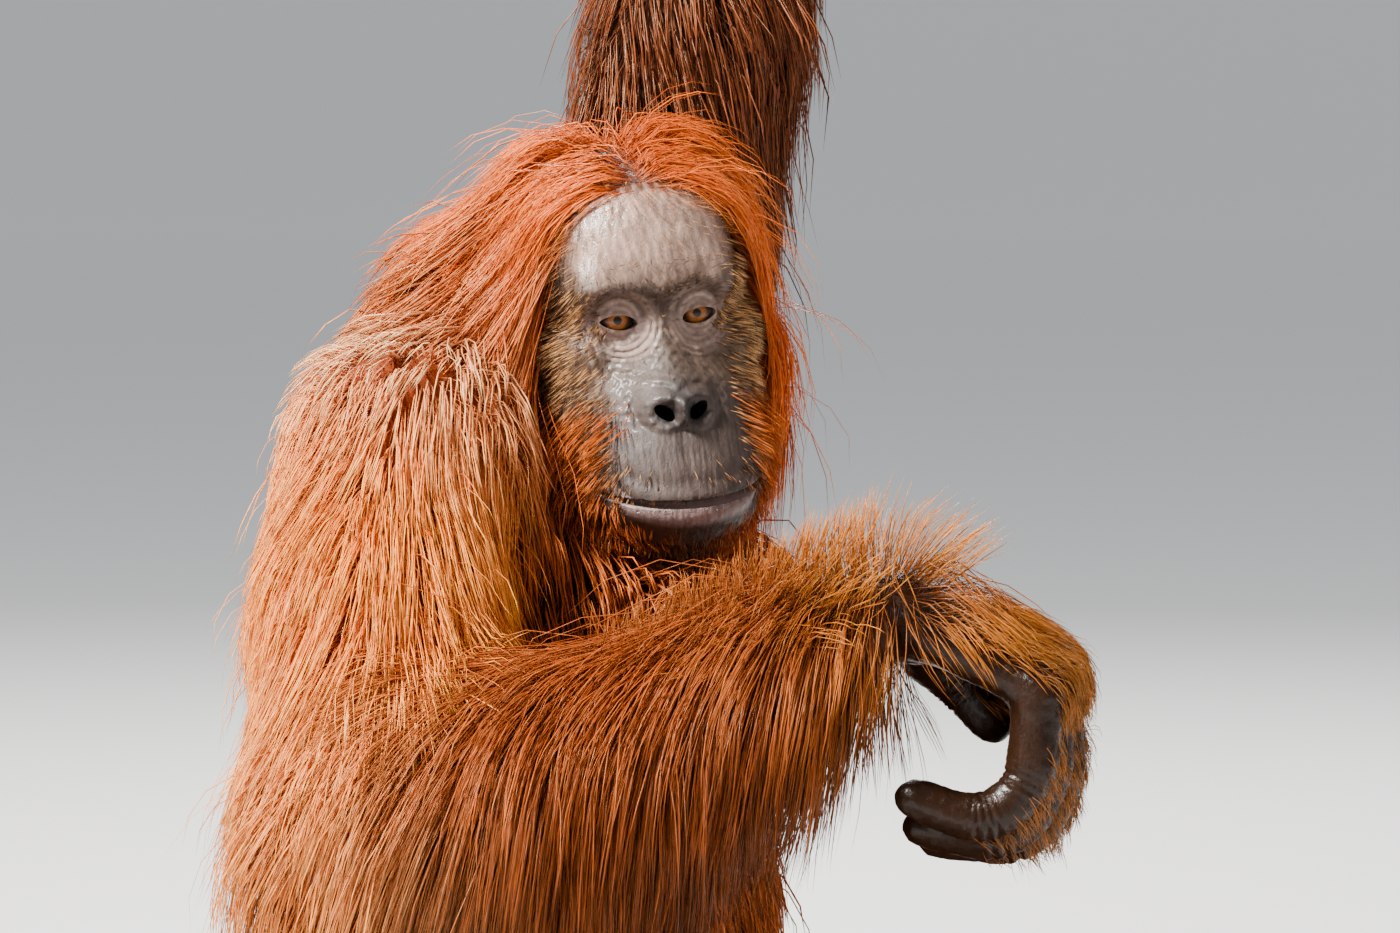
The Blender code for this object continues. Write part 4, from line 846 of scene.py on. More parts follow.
def build_head_skin():
    """The head's skin with its face sculpted, its lids, nostrils and mouth cut, and its markings."""
    shapes = skull_shapes() + lip_shapes() + neck_shapes() + ear_roots()
    head = remeshed("skin_head", shapes, HEAD_CELL, HEAD_BLEND)
    bm = bmesh.new()
    bm.from_mesh(head.data)
    near = in_head(coordinates(head.data))
    face = (near[:, 1] < -0.026) & (abs(near[:, 0]) < 0.060) & (near[:, 2] > -0.125)
    bm.verts.ensure_lookup_table()
    edges = [edge for edge in bm.edges if face[edge.verts[0].index] and face[edge.verts[1].index]]
    bmesh.ops.subdivide_edges(bm, edges=edges, cuts=1, use_grid_fill=True, smooth=0.0)
    bm.to_mesh(head.data)
    bm.free()
    points = settle(coordinates(head.data), shapes, HEAD_BLEND, 2)
    move_vertices(head.data, on_head(sculpt_face(in_head(points))))
    for cutter in (lid_cutter(-1), lid_cutter(1), mouth_cutter(shapes)):
        head = joined(head, cutter, "DIFFERENCE")
    for side in (-1, 1):
        head = joined(head, nostril_cutter(side), "DIFFERENCE")
    local = in_head(coordinates(head.data))
    paint(head.data, "tint", face_colours(local))
    bare = step(local[:, 2], 0.010, 0.030)
    lips = bump(mouth_level(local[:, 0]) - local[:, 2] - 0.007, 0.007)
    hair = step(hairline(local), -0.004, 0.003)
    bare = bare * (1.0 - hair)
    set_roughness(head.data, 0.58 - 0.32 * bare + 0.12 * hair - 0.18 * lips * step(-local[:, 1], 0.05, 0.06))
    return head


def nearest_of(points, targets):
    """For each point the row of the closest target, and how far away that is."""
    tree = KDTree(len(targets))
    for i, place in enumerate(targets):
        tree.insert(place, i)
    tree.balance()
    found = [tree.find(place) for place in points]
    return np.array([match[1] for match in found]), np.array([match[2] for match in found])


CREASE_SPACING = 0.0046


def creased(points, digits):
    """Rings of fine creases round the joints of the digits."""
    fingers, thumb = digits
    distance, depth = np.full(len(points), 1.0), np.zeros(len(points))
    for chain in [*fingers, thumb]:
        path = smooth_path(chain, 90)
        row, reach = nearest_of(points, path)
        spacing = np.linalg.norm(path[1] - path[0])
        joints = [np.linalg.norm(path - joint, axis=1).argmin() for joint in chain[1:-1]]
        away = np.min([abs(row - joint) for joint in joints], axis=0) * spacing
        rings = (0.5 + 0.5 * np.cos(row * spacing * 2 * math.pi / CREASE_SPACING)) * bump(away, 0.0095)
        depth = np.where(reach < distance, rings * (reach < 0.02), depth)
        distance = np.minimum(distance, reach)
    return depth


def build_body_skin():
    """One skin over trunk, arms and legs, with finer hands and feet joined to it."""
    shapes = torso_shapes() + neck_shapes()[:1]
    for side in SIDES:
        shapes += arm_shapes(side) + leg_shapes(side)
    body = remeshed("skin_body", shapes, BODY_CELL, BODY_BLEND)
    for side in SIDES:
        for ends, digits, thinned in (
            (hand_shapes(side), HANDS[side], HAND_SHARE),
            (foot_shapes(side), FOOT_JOINTS[side], FOOT_SHARE),
        ):
            hand = remeshed("extremity", ends, HAND_CELL, HAND_BLEND)
            wrinkled = coordinates(hand.data)
            _, slope = flesh_slope(wrinkled, ends, HAND_BLEND)
            height = ripple(wrinkled, 0.0060, 31) * 0.00030 + ripple(wrinkled, 0.0140, 32) * 0.0005
            height -= 0.0016 * creased(wrinkled, digits)
            move_vertices(hand.data, wrinkled + unit(slope) * height[:, None])
            modifier = hand.modifiers.new("thin", "DECIMATE")
            modifier.ratio = thinned
            body = joined(body, applied(hand))
    low = coordinates(body.data)
    low[:, 2] = np.maximum(low[:, 2], FLOOR)
    move_vertices(body.data, low)
    paint(body.data, "tint", body_colours(low))
    weights = part_weights(low)[0]
    set_roughness(body.data, 0.75 - 0.43 * bare_share(weights))
    return body


PARTS = {
    # length, lift, droop, width, root colour, tip colour, tufts for each square metre
    "head": (0.150, 0.8, 0.50, 0.00088, (0.34, 0.042, 0.004), (0.88, 0.165, 0.012), 285000),
    "neck": (0.090, 0.8, 0.40, 0.00130, (0.20, 0.030, 0.005), (0.60, 0.110, 0.014), 60000),
    "throat": (0.050, 0.5, 0.50, 0.00100, (0.040, 0.011, 0.005), (0.16, 0.036, 0.010), 70000),
    "torso": (0.092, 0.9, 0.40, 0.00165, (0.18, 0.028, 0.004), (0.50, 0.105, 0.011), 37500),
    # The right upper arm's colours carry painted sunlight, lighter than the coat elsewhere; the right
    # forearm's are darker, partly the coat's own brown and partly painted shade
    "upper_arm_right": (0.105, 0.8, 0.30, 0.00090, (0.60, 0.090, 0.007), (1.00, 0.320, 0.034), 112000),
    "forearm_right": (0.140, 0.9, 1.00, 0.00092, (0.115, 0.021, 0.003), (0.175, 0.036, 0.005), 137000),
    "hand_right": (0.040, 0.6, 0.70, 0.00062, (0.10, 0.028, 0.005), (0.50, 0.155, 0.015), 180000),
    "finger_right": (0.034, 0.6, 0.90, 0.00050, (0.06, 0.020, 0.006), (0.32, 0.105, 0.016), 100000),
    "upper_arm_left": (0.120, 0.8, 0.55, 0.00120, (0.050, 0.013, 0.005), (0.19, 0.044, 0.012), 66000),
    "forearm_left": (0.110, 0.8, 0.50, 0.00150, (0.070, 0.017, 0.006), (0.32, 0.075, 0.016), 42000),
    "hand_left": (0.030, 0.4, 0.20, 0.00100, (0.10, 0.030, 0.011), (0.34, 0.100, 0.026), 60000),
    "finger_left": (0.014, 0.4, 0.20, 0.00060, (0.10, 0.030, 0.011), (0.32, 0.100, 0.026), 24000),
}
LEG_PARTS = {
    "thigh": (0.085, 0.9, 0.45, 0.00180, (0.18, 0.028, 0.004), (0.50, 0.105, 0.011), 34000),
    "shin": (0.080, 0.8, 0.40, 0.00170, (0.17, 0.028, 0.004), (0.46, 0.100, 0.011), 36000),
    "foot": (0.026, 0.4, 0.20, 0.00100, (0.13, 0.030, 0.009), (0.38, 0.095, 0.022), 60000),
    "toe": (0.010, 0.3, 0.10, 0.00060, (0.10, 0.030, 0.011), (0.32, 0.090, 0.024), 14000),
}
PARTS |= {f"{part}_{side}": row for part, row in LEG_PARTS.items() for side in SIDES}
BARE_HIDE = (0.016, 0.0062, 0.0026)
BARE_PARTS = ("hand", "finger", "foot", "toe")


def bare_share(weights):
    """One on the hands and feet, which have bare skin."""
    return step(sum(weights[i] for i, name in enumerate(PARTS) if name.split("_")[0] in BARE_PARTS), 0.3, 0.7)


def body_colours(points):
    """The skin's markings: the coat's own dark root colour, and bare dark palms, soles and digits."""
    weights = part_weights(points)[0]
    roots = np.array([row[4] for row in PARTS.values()])
    colours = weights.T @ roots * 0.35
    tone_change = 1.0 + 0.16 * ripple(points, 0.02, 41) + 0.10 * ripple(points, 0.005, 42)
    return mix(colours, BARE_HIDE, bare_share(weights)) * tone_change[:, None]


def all_shapes():
    """Every shape of the body, with simpler fingers and toes, for the coat's parts."""
    shapes = skull_shapes() + neck_shapes() + torso_shapes()
    for side in SIDES:
        shapes += arm_shapes(side) + leg_shapes(side) + hand_shapes(side, 6) + foot_shapes(side, 5)
    return shapes


BODY = all_shapes()
SPREAD = 0.012


def part_weights(points):
    """For every part its share in each point, and the depth of coat there."""
    names = list(PARTS)
    nearest = np.full((len(names), len(points)), 1.0)
    depths = np.zeros((len(names), len(points)))
    for shape in BODY:
        row = names.index(shape["part"])
        distance = shape_distance(points, shape)
        closer = distance < nearest[row]
        nearest[row] = np.where(closer, distance, nearest[row])
        depths[row] = np.where(closer, shape["coat"], depths[row])
    weights = np.exp(-(nearest - nearest.min(axis=0)) / SPREAD)
    weights /= weights.sum(axis=0)
    return weights, (weights * depths).sum(axis=0)


# Coat: seeded roots on the skin, strands grown along the lie, and closed tapered tufts round them
SURVEYS = {}
ROOT_DEPTH = 0.0012
HUG = 0.8
# Tufts for each square metre of the finer kinds of hair
BEARD_DENSITY = 96000.0
FUZZ_DENSITY = 290000.0
STANDING_DENSITY = 130000.0


def survey(thing):
    """The skin's vertices, triangles, normals, part weights and coat depth, worked out once."""
    if thing.name in SURVEYS:
        return SURVEYS[thing.name]
    mesh = thing.data
    mesh.calc_loop_triangles()
    corners = np.empty(len(mesh.loop_triangles) * 3, np.int32)
    mesh.loop_triangles.foreach_get("vertices", corners)
    points = coordinates(mesh)
    weights, depth = part_weights(points)
    SURVEYS[thing.name] = {
        "points": points,
        "corners": corners.reshape(-1, 3),
        "normals": vertex_normals(mesh),
        "weights": weights,
        "depth": depth,
    }
    return SURVEYS[thing.name]


def everywhere(points):
    """The zone of a coat that covers all of its parts."""
    return 1.0


def sown(thing, rate, zone, seed):
    """Roots over a zone of that skin, at a rate for each square metre."""
    rate = rate * bpy.context.scene.orangutan_coat.density
    ground = survey(thing)
    return scatter(ground, rate * zone(ground["points"]), seed)


def part_density(ground, names):
    """Tufts for each square metre at every vertex, for the named parts only."""
    rates = np.array([PARTS[name][6] if name in names else 0.0 for name in PARTS])
    dominant = np.array([name in names for name in PARTS])[ground["weights"].argmax(axis=0)]
    return (rates @ ground["weights"]) * dominant


def scatter(ground, density, seed):
    """Seeded roots over the skin with their normals, part weights and coat depth."""
    corners = ground["corners"]
    a, b, c = (ground["points"][corners[:, k]] for k in range(3))
    area = np.linalg.norm(np.cross(b - a, c - a), axis=1) / 2
    expected = area * density[corners].mean(axis=1)
    rng = np.random.default_rng(seed)
    chosen = rng.choice(len(expected), int(expected.sum()), p=expected / expected.sum())
    share = rng.random((len(chosen), 2))
    share = np.where(share.sum(axis=1, keepdims=True) > 1.0, 1.0 - share, share)
    share = np.column_stack([1.0 - share.sum(axis=1), share])
    picked = corners[chosen]

    def between(values):
        return (values[picked] * share.reshape(share.shape + (1,) * (values.ndim - 1))).sum(axis=1)

    return {
        "roots": between(ground["points"]),
        "normals": unit(between(ground["normals"])),
        "weights": between(ground["weights"].T),
        "depth": between(ground["depth"]),
        "rng": rng,
    }


def head_lie(points):
    """Hair falls to both sides of a parting over the crown, then down past the face."""
    local = in_head(points)
    side = np.tanh((local[:, 0] + 0.006 * np.sin(local[:, 1] * 2600.0 + local[:, 0] * 3100.0)) / 0.008)
    low = step(0.080 - local[:, 2], 0.0, 0.055)
    back = step(local[:, 1], 0.030, 0.075)
    lie = np.column_stack(
        [side * (1.15 - 1.0 * low), 0.20 + 0.75 * back - 0.26 * low * (1 - back), -0.30 - 1.3 * low]
    )
    return unit(lie) @ HEAD_TURN.T


def torso_lie(points):
    """Hair runs out and back over the shoulders and straight down elsewhere."""
    high = step(points[:, 2], 0.47, 0.56)
    across = np.tanh((points[:, 0] - 0.01) / 0.06) * high
    return unit(np.column_stack([across, 0.5 * high, -1.0 + 0.3 * high]))


def limb_lie(side, start, end, gravity):
    """Hair runs along a limb and sags by that much."""
    axis = unit(JOINTS[f"{end}_{side}"] - JOINTS[f"{start}_{side}"])
    return unit(axis - gravity * UP)


def along_forearm(points):
    """How far each point is along the right forearm, from 0 at the wrist to 1 at the elbow."""
    return (points - JOINTS["wrist_right"]) @ FOREARM / (FOREARM @ FOREARM)


def share_of(soil, part):
    """How much each root belongs to that part."""
    return soil["weights"][:, list(PARTS).index(part)]


def upper_arm_lie(points):
    """Hair fans out from the cap of the right shoulder and runs down the arm."""
    spread = (points - JOINTS["shoulder_right"]) @ HAND_OUT - 0.02
    return unit(limb_lie("right", "shoulder", "elbow", 0.35) + 6.0 * spread[:, None] * HAND_OUT)


def forearm_lie(points):
    """Hair runs back from the right wrist, straight down in the middle and out to the elbow's side."""
    along = along_forearm(points)
    back = 0.42 + 0.95 * step(along, 0.50, 0.95) + 0.55 * step(0.28 - along, 0.0, 0.24)
    return unit(back[:, None] * unit(FOREARM) - 1.1 * UP)


LIES = {
    "neck": (0.0, 0.1, -1.0),
    "throat": (-0.3, -0.5, -1.0),
    "torso": (0.0, 0.0, -1.0),
    "upper_arm_right": limb_lie("right", "shoulder", "elbow", 0.35),
    "forearm_right": limb_lie("right", "wrist", "elbow", 1.5),
    "hand_right": 0.75 * HAND_OUT - 0.45 * UP - 0.35 * HAND_SIDE,
    "finger_right": 0.35 * HAND_OUT - 0.9 * UP - 0.25 * HAND_SIDE,
    "upper_arm_left": (0.45, -0.62, -1.0),
    "forearm_left": (0.1, -0.15, -1.0),
    "hand_left": (0.0, 0.0, 1.0),
    "finger_left": (0.4, -0.25, -0.6),
    "thigh_right": limb_lie("right", "hip", "knee", 0.8),
    "thigh_left": limb_lie("left", "hip", "knee", 0.8),
    "shin_right": limb_lie("right", "knee", "ankle", 0.2),
    "shin_left": limb_lie("left", "knee", "ankle", 0.6),
    "foot_right": (-0.17, -0.98, -0.1),
    "foot_left": (-0.6, -0.8, -0.1),
    "toe_right": (-0.17, -0.98, -0.1),
    "toe_left": (-0.6, -0.8, -0.1),
}


FLOWS = {"head": head_lie, "torso": torso_lie, "upper_arm_right": upper_arm_lie, "forearm_right": forearm_lie}


def grow(soil, lie, length, lift, droop, hug, steps, height):
    """Strands that leave the skin along the lie and stay in the coat's depth, or fall free."""
    rng, normals, count = soil["rng"], soil["normals"], len(soil["roots"])
    lie = lie + rng.normal(0.0, 0.11, (count, 3))
    lie = unit(lie - (lie * normals).sum(axis=1, keepdims=True) * normals)
    way = unit(lie + normals * lift[:, None])
    place = soil["roots"] - ROOT_DEPTH * normals
    path = [place]
    span = (length / steps)[:, None]
    for k in range(1, steps + 1):
        share = k / steps
        way = unit(way - UP * (droop * (0.35 + 0.65 * share) * 2.0 / steps)[:, None])
        way = unit(way + rng.normal(0.0, 0.045, (count, 3)))
        place = place + way * span
        value, slope = flesh_slope(place, OUTER, COAT_BLEND)
        target = ROOT_DEPTH + soil["depth"] * height * (0.45 + 0.55 * share)
        back = hug[:, None] * span * 0.55
        push = np.clip((target - value)[:, None], -back, span * 0.9)
        place = place + unit(slope) * push
        place[:, 2] = np.maximum(place[:, 2], FLOOR + 0.0015)
        way = unit(0.65 * way + 0.35 * unit(place - path[-1]))
        path.append(place)
    return np.stack(path, axis=1)


def clumped(paths, every, pull, rng):
    """Draws strands towards the nearest of some chosen ones, more at their tips."""
    count = len(paths)
    leaders = rng.choice(count, max(2, count // every), replace=False)
    led_by = leaders[nearest_of(paths[:, 1], paths[leaders, 1])[0]]
    share = (np.linspace(0.0, 1.0, paths.shape[1]) ** 1.3)[None, :, None]
    pull = (pull * (0.7 + 0.3 * rng.random(count)))[:, None, None] * share
    offset = paths - paths[:, :1]
    return (1.0 - pull) * paths + pull * (0.25 * (paths[:, :1] + offset[led_by]) + 0.75 * paths[led_by])


def strands(soil, lie, depth, lengths, lifts, bend, heights, steps, clump, shorter=1.0, flatter=1.0):
    """Clumped strands of one kind of hair, with their sizes drawn between the given limits."""
    rng, count = soil["rng"], len(soil["roots"])
    soil["depth"] = np.full(count, depth)
    length = rng.uniform(*lengths, count) * shorter
    lift = rng.uniform(*lifts, count) * flatter
    droop, hug = (np.full(count, share) for share in bend)
    paths = grow(soil, lie, length, lift, droop, hug, steps, rng.uniform(*heights, count))
    return clumped(paths, *clump, rng)


def unwrap(roots):
    """Places on a round unwrap of the skin about its own middle, inside a unit square."""
    local = roots - roots.mean(axis=0)
    spread = local.std(axis=0) + 1e-6
    turn = np.arctan2(local[:, 1] / spread[1], local[:, 0] / spread[0]) / (2 * math.pi) + 0.5
    low, high = local[:, 2].min(), local[:, 2].max()
    return np.column_stack([0.01 + 0.98 * turn, 0.01 + 0.98 * (local[:, 2] - low) / (high - low)])


def tuft_mesh(name, paths, normals, widths, root_colours, tip_colours, rng):
    """One mesh of closed, three-sided, tapered tufts along the paths."""
    count, rings = len(paths), paths.shape[1] - 1
    along = np.gradient(paths, axis=1)
    along = unit(along)
    side = unit(np.cross(normals[:, None, :], along))
    rise = np.cross(along, side)
    turn = rng.normal(0.0, 0.5, count)[:, None, None]
    side, rise = side * np.cos(turn) + rise * np.sin(turn), rise * np.cos(turn) - side * np.sin(turn)
    taper = np.interp(np.arange(rings) / rings, (0.0, 0.3, 0.7, 1.0), (0.6, 1.0, 0.8, 0.1))
    half = widths[:, None, None] * 0.5 * taper[None, :, None]
    middle_rings = paths[:, :rings]
    corners = [
        middle_rings + side[:, :rings] * half,
        middle_rings + rise[:, :rings] * half * 0.9,
        middle_rings - side[:, :rings] * half,
    ]
    points = np.stack(corners, axis=2).reshape(count, rings * 3, 3)
    points = np.concatenate([points, paths[:, -1:]], axis=1)
    quads = []
    for ring in range(rings - 1):
        for j in range(3):
            low, high, after = ring * 3 + j, ring * 3 + 3 + j, (j + 1) % 3
            quads.append((low, ring * 3 + after, ring * 3 + 3 + after, high))
    last, tip = rings * 3 - 3, rings * 3
    tris = [(last + j, last + (j + 1) % 3, tip) for j in range(3)] + [(2, 1, 0)]
    single = [index for face in quads + tris for index in face]
    sizes = [4] * len(quads) + [3] * len(tris)
    each = rings * 3 + 1
    loops = (np.array(single)[None, :] + each * np.arange(count)[:, None]).astype(np.int32)
    starts = np.concatenate([[0], np.cumsum(sizes)[:-1]])
    starts = (starts[None, :] + len(single) * np.arange(count)[:, None]).astype(np.int32)
    mesh = bpy.data.meshes.new(name)
    mesh.vertices.add(count * each)
    mesh.vertices.foreach_set("co", points.astype(np.float32).ravel())
    mesh.loops.add(loops.size)
    mesh.loops.foreach_set("vertex_index", loops.ravel())
    mesh.polygons.add(starts.size)
    mesh.polygons.foreach_set("loop_start", starts.ravel())
    mesh.update(calc_edges=True)
    share = np.append(np.repeat(np.arange(rings) / rings, 3), 1.0)[None, :, None]
    colours = (1.0 - share) * root_colours[:, None, :] + share * tip_colours[:, None, :]
    paint(mesh, "tint", colours.reshape(-1, 3))
    layer = mesh.uv_layers.new(name="OFBake")
    across = np.append(np.tile((-0.0015, 0.0, 0.0015), rings), 0.0)
    spots = np.stack([across, 0.003 * share[0, :, 0] - 0.0015], axis=1)
    places = (unwrap(paths[:, 0])[:, None, :] + spots[None, :, :]).reshape(-1, 2)
    layer.data.foreach_set("uv", places[loops.ravel()].astype(np.float32).ravel())
    return mesh


def coat_piece(name, soil, paths, widths, roots, tips, spread=0.42):
    """A coat piece from its strands, with its shades varied from stream to stream."""
    rng = soil["rng"]
    shade = 1.0 + spread * (0.55 * ripple(soil["roots"], 0.035, 51) + rng.normal(0.0, 0.50, len(paths)))
    shade = np.clip(shade, 0.30, 1.8)[:, None]
    warm = 1.0 + np.array((0.0, 0.22, 0.35)) * rng.normal(0.0, 0.35, len(paths))[:, None]
    options = bpy.context.scene.orangutan_coat
    tone = np.array(options.tone)
    mesh = tuft_mesh(
        name,
        paths,
        soil["normals"],
        widths * options.width,
        np.clip(roots * shade * tone, 0.0, 1.0),
        np.clip(tips * shade * warm * tone, 0.0, 1.0),
        rng,
    )
    return finished(linked(name, mesh), hair_material(), "coat")


def blended(soil, column):
    """A trait of the parts, blended at each root."""
    return soil["weights"] @ np.array([PARTS[name][column] for name in PARTS])


def trimmed(soil, roots):
    """How much of its full length the coat has at each root."""
    x, y, _ = in_head(roots).T
    front = step(abs(x), 0.026, 0.048) * step(0.034 - y, 0.0, 0.03)
    hair = np.where(x < 0.0, 0.72 + 0.70 * front, 0.66 + 0.22 * front)
    on_scalp = share_of(soil, "head")
    share = 1.0 + on_scalp * (hair - 1.0)
    cap = np.linalg.norm(roots - SHOULDER_CAP, axis=1)
    return share * (1.0 - 0.62 * bump(cap, 0.062) * (1.0 - on_scalp))


def painted_sheen_and_shade(soil, roots, tips):
    """Painted light on the coat: painted sheen over the right shoulder, the elbow and the right temple,
    lighter on top of the right forearm and painted shade under it.
    """
    places, lean = soil["roots"], soil["normals"][:, 2]
    on_scalp, fore = share_of(soil, "head"), share_of(soil, "forearm_right")
    # Painted light on the right forearm: lighter where the coat faces up, painted shade where it faces down
    shade = 1.0 + fore * (0.9 * step(lean, 0.1, 0.8) - 0.40 * step(-lean, -0.1, 0.7))
    roots, tips = roots * shade[:, None], tips * shade[:, None]
    streaks = 0.55 + 0.45 * ripple(places, 0.018, 53)
    # Painted sheen: pale tips and lighter roots at the right elbow and over the right shoulder's cap, pale
    # tips at the right temple
    elbow = step(along_forearm(places), 0.62, 0.90) * np.maximum(fore, share_of(soil, "upper_arm_right"))
    elbow *= bump(np.linalg.norm(places - JOINTS["elbow_right"], axis=1), 0.13)
    tips = mix(tips, (1.0, 0.50, 0.21), 0.75 * elbow * streaks)
    roots = mix(roots, (0.62, 0.15, 0.03), 0.6 * elbow)
    local = in_head(places)
    temple = on_scalp * step(-local[:, 0], 0.030, 0.050) * step(0.05 - local[:, 1], 0.0, 0.03)
    tips = mix(tips, (1.0, 0.44, 0.17), 0.90 * temple * streaks)
    cap = bump(np.linalg.norm(places - SHOULDER_CAP, axis=1), 0.056) * (on_scalp < 0.3)
    tips = mix(tips, (1.0, 0.62, 0.32), 0.80 * cap)
    return mix(roots, (0.66, 0.22, 0.07), 0.6 * cap), tips


def clear_of_face(paths):
    """False for a strand that would cross the bare face."""
    x, y, z = np.moveaxis(in_head(paths.reshape(-1, 3)).reshape(paths.shape), -1, 0)
    across = (y < -0.036) & (abs(x) < 0.043) & (z < 0.062) & (z > -0.110)
    return ~across.any(axis=1)


def part_coat(name, thing, names, seed, clump=(16, 0.50), where=everywhere, steps=4):
    """The coat of the named parts, rooted on that skin."""
    soil = sown(thing, part_density(survey(thing), names), where, seed)
    rng, count = soil["rng"], len(soil["roots"])
    table = unit(np.array([LIES.get(part, (0.0, 0.0, -1.0)) for part in PARTS], float))
    lie = soil["weights"] @ table
    for part, flow in FLOWS.items():
        plain = table[list(PARTS).index(part)]
        lie = lie + share_of(soil, part)[:, None] * (flow(soil["roots"]) - plain)
    length = blended(soil, 0) * bpy.context.scene.orangutan_coat.length * rng.uniform(0.50, 1.12, count)
    length *= trimmed(soil, soil["roots"])
    free = share_of(soil, "forearm_right")
    stray = 1.0 + 1.4 * (rng.random(count) < 0.04)
    near_cap = bump(np.linalg.norm(soil["roots"] - SHOULDER_CAP, axis=1), 0.062)
    paths = grow(
        soil,
        lie,
        length,
        blended(soil, 1) * rng.uniform(0.35, 1.1, count) * stray * (1.0 - 0.6 * near_cap),
        blended(soil, 2) * rng.uniform(0.7, 1.3, count),
        HUG * (1.0 - 0.85 * free) / stray,
        steps,
        rng.uniform(0.15, 1.0, count) * stray**0.5,
    )
    paths = clumped(paths, clump[0], clump[1], rng)
    paths = clumped(paths, clump[0] * 7, clump[1] * 0.45, rng)
    widths = blended(soil, 3) * rng.uniform(0.55, 1.30, count)
    roots, tips = painted_sheen_and_shade(soil, blended(soil, 4), blended(soil, 5))
    clear = clear_of_face(paths)
    soil = {key: values[clear] if key != "rng" else values for key, values in soil.items()}
    return coat_piece(name, soil, paths[clear], widths[clear], roots[clear], tips[clear])


def outer_shapes():
    """The larger shapes, which strands are kept out of."""
    shapes = skull_shapes() + neck_shapes() + torso_shapes()
    for side in SIDES:
        shapes += arm_shapes(side) + leg_shapes(side) + hand_shapes(side)[:5] + foot_shapes(side)[:9]
    return shapes


OUTER = outer_shapes()


# Where each kind of hair grows, and the finer kinds
def hairline(local):
    """How far a place is behind the line where the scalp's hair starts."""
    x, y, z = local.T
    line = np.interp(z, (-0.02, 0.03, 0.055, 0.070, 0.080), (-0.010, -0.018, -0.031, -0.044, -0.052))
    line = line - 0.012 * step(-x, 0.030, 0.046)
    jitter = 0.003 * np.sin(z * 700) + 0.003 * np.sin(x * 900)
    return y - line - jitter


def scalp(points):
    """Behind the hairline and above the neck."""
    local = in_head(points)
    return step(hairline(local), -0.003, 0.006) * step(local[:, 2], -0.085, -0.060)


def half_scalp(points, side):
    """The scalp's hair on one side of the parting."""
    return scalp(points) * (side * in_head(points)[:, 0] > 0)


def beard_zone(points):
    """Jaw, sides of the muzzle and of the throat, clear of the lips."""
    x, y, z = in_head(points).T
    jaw = step(-z, 0.066, 0.084) * step(y, -0.068, -0.045)
    edge = np.where(x < 0.0, 0.023, 0.032)
    side = step(abs(x) - edge, 0.0, 0.009) * step(-z, 0.042, 0.062) * step(y, -0.104, -0.084)
    below = mouth_level(x) - z
    lips = step(below, -0.006, -0.001) * (1.0 - step(below, 0.011, 0.014)) * (abs(x) < 0.043) * (y < -0.04)
    chin = step(below, 0.011, 0.014) * (y < -0.04)
    return np.clip(jaw + side + chin, 0.0, 1.0) * (1.0 - lips)


def cheek_zone(points):
    """Where short fuzz covers the cheeks, the brows and, thinly, the chin."""
    x, y, z = in_head(points).T
    cheeks = step(abs(x), 0.029, 0.046) * step(-y, -0.004, 0.004) * step(0.034 - z, 0.0, 0.03)
    above = z - mouth_level(x)
    chin = 0.5 * step(-above, 0.012, 0.016) * (y < -0.04)
    chin += 0.22 * bump(above - 0.010, 0.007) * (y < -0.06)
    brows = np.zeros(len(x))
    for side in (-1, 1):
        across, rise, _ = eye_frame(np.column_stack([x, y, z]), side)
        brows += 0.8 * bump(brow_arc(across, rise), 0.0045) * step(0.030 - abs(across), 0, 0.01)
    brows += 0.5 * bump(x, 0.011) * bump(z - 0.008, 0.010)
    forehead = step(z, 0.018, 0.030) * (0.13 + 0.45 * bump(hairline(in_head(points)) + 0.004, 0.010))
    return np.clip(cheeks + chin + (brows + forehead) * (y < -0.03), 0.0, 1.0)


def half_trunk(points, sign):
    """The front of the trunk, or its back, parted at the shoulders."""
    return (sign * (0.06 - points[:, 1]) > 0.0) * 1.0


def wrist_top(points):
    """One on the upper side of the right wrist and of the forearm's end."""
    along = along_forearm(points)
    out = points - JOINTS["wrist_right"] - along[:, None] * FOREARM
    near = step(along, -0.24, -0.10) * (1.0 - step(along, 0.30, 0.55))
    return step(unit(out)[:, 2], 0.25, 0.75) * near * (np.linalg.norm(out, axis=1) < 0.06)


def hand_back(points, side):
    """One on the backs of hand and fingers, none on the palm and the last joints."""
    fingers, thumb = HANDS[side]
    distance, lean, last = np.full(len(points), 9.0), np.zeros(len(points)), np.zeros(len(points))
    for chain in fingers + [thumb]:
        path = smooth_path(chain, 24)
        if side == "right":
            straight = unit(np.cross(HAND_SIDE, np.gradient(path, axis=0)))
        else:
            inside = path - BRANCH_CENTRE
            straight = unit(inside - (inside @ BRANCH_ALONG)[:, None] * BRANCH_ALONG)
        for i, place in enumerate(path):
            away = points - place
            reach = np.linalg.norm(away, axis=1)
            nearer = reach < distance
            distance = np.where(nearer, reach, distance)
            lean = np.where(nearer, (away @ straight[i]) / (reach + 1e-9), lean)
            last = np.where(nearer, i / (len(path) - 1.0), last)
    return step(lean, 0.05, 0.45) * (1.0 - step(last, 0.74, 0.86))


def foot_back(points, side):
    """One on the upper side of a foot, none on its sole."""
    dorsal = FEET[side][2]
    middle_of_foot = middle(FEET[side][0], FOOT_JOINTS[side][0][1][1])
    return step((points - middle_of_foot) @ dorsal, -0.002, 0.010)


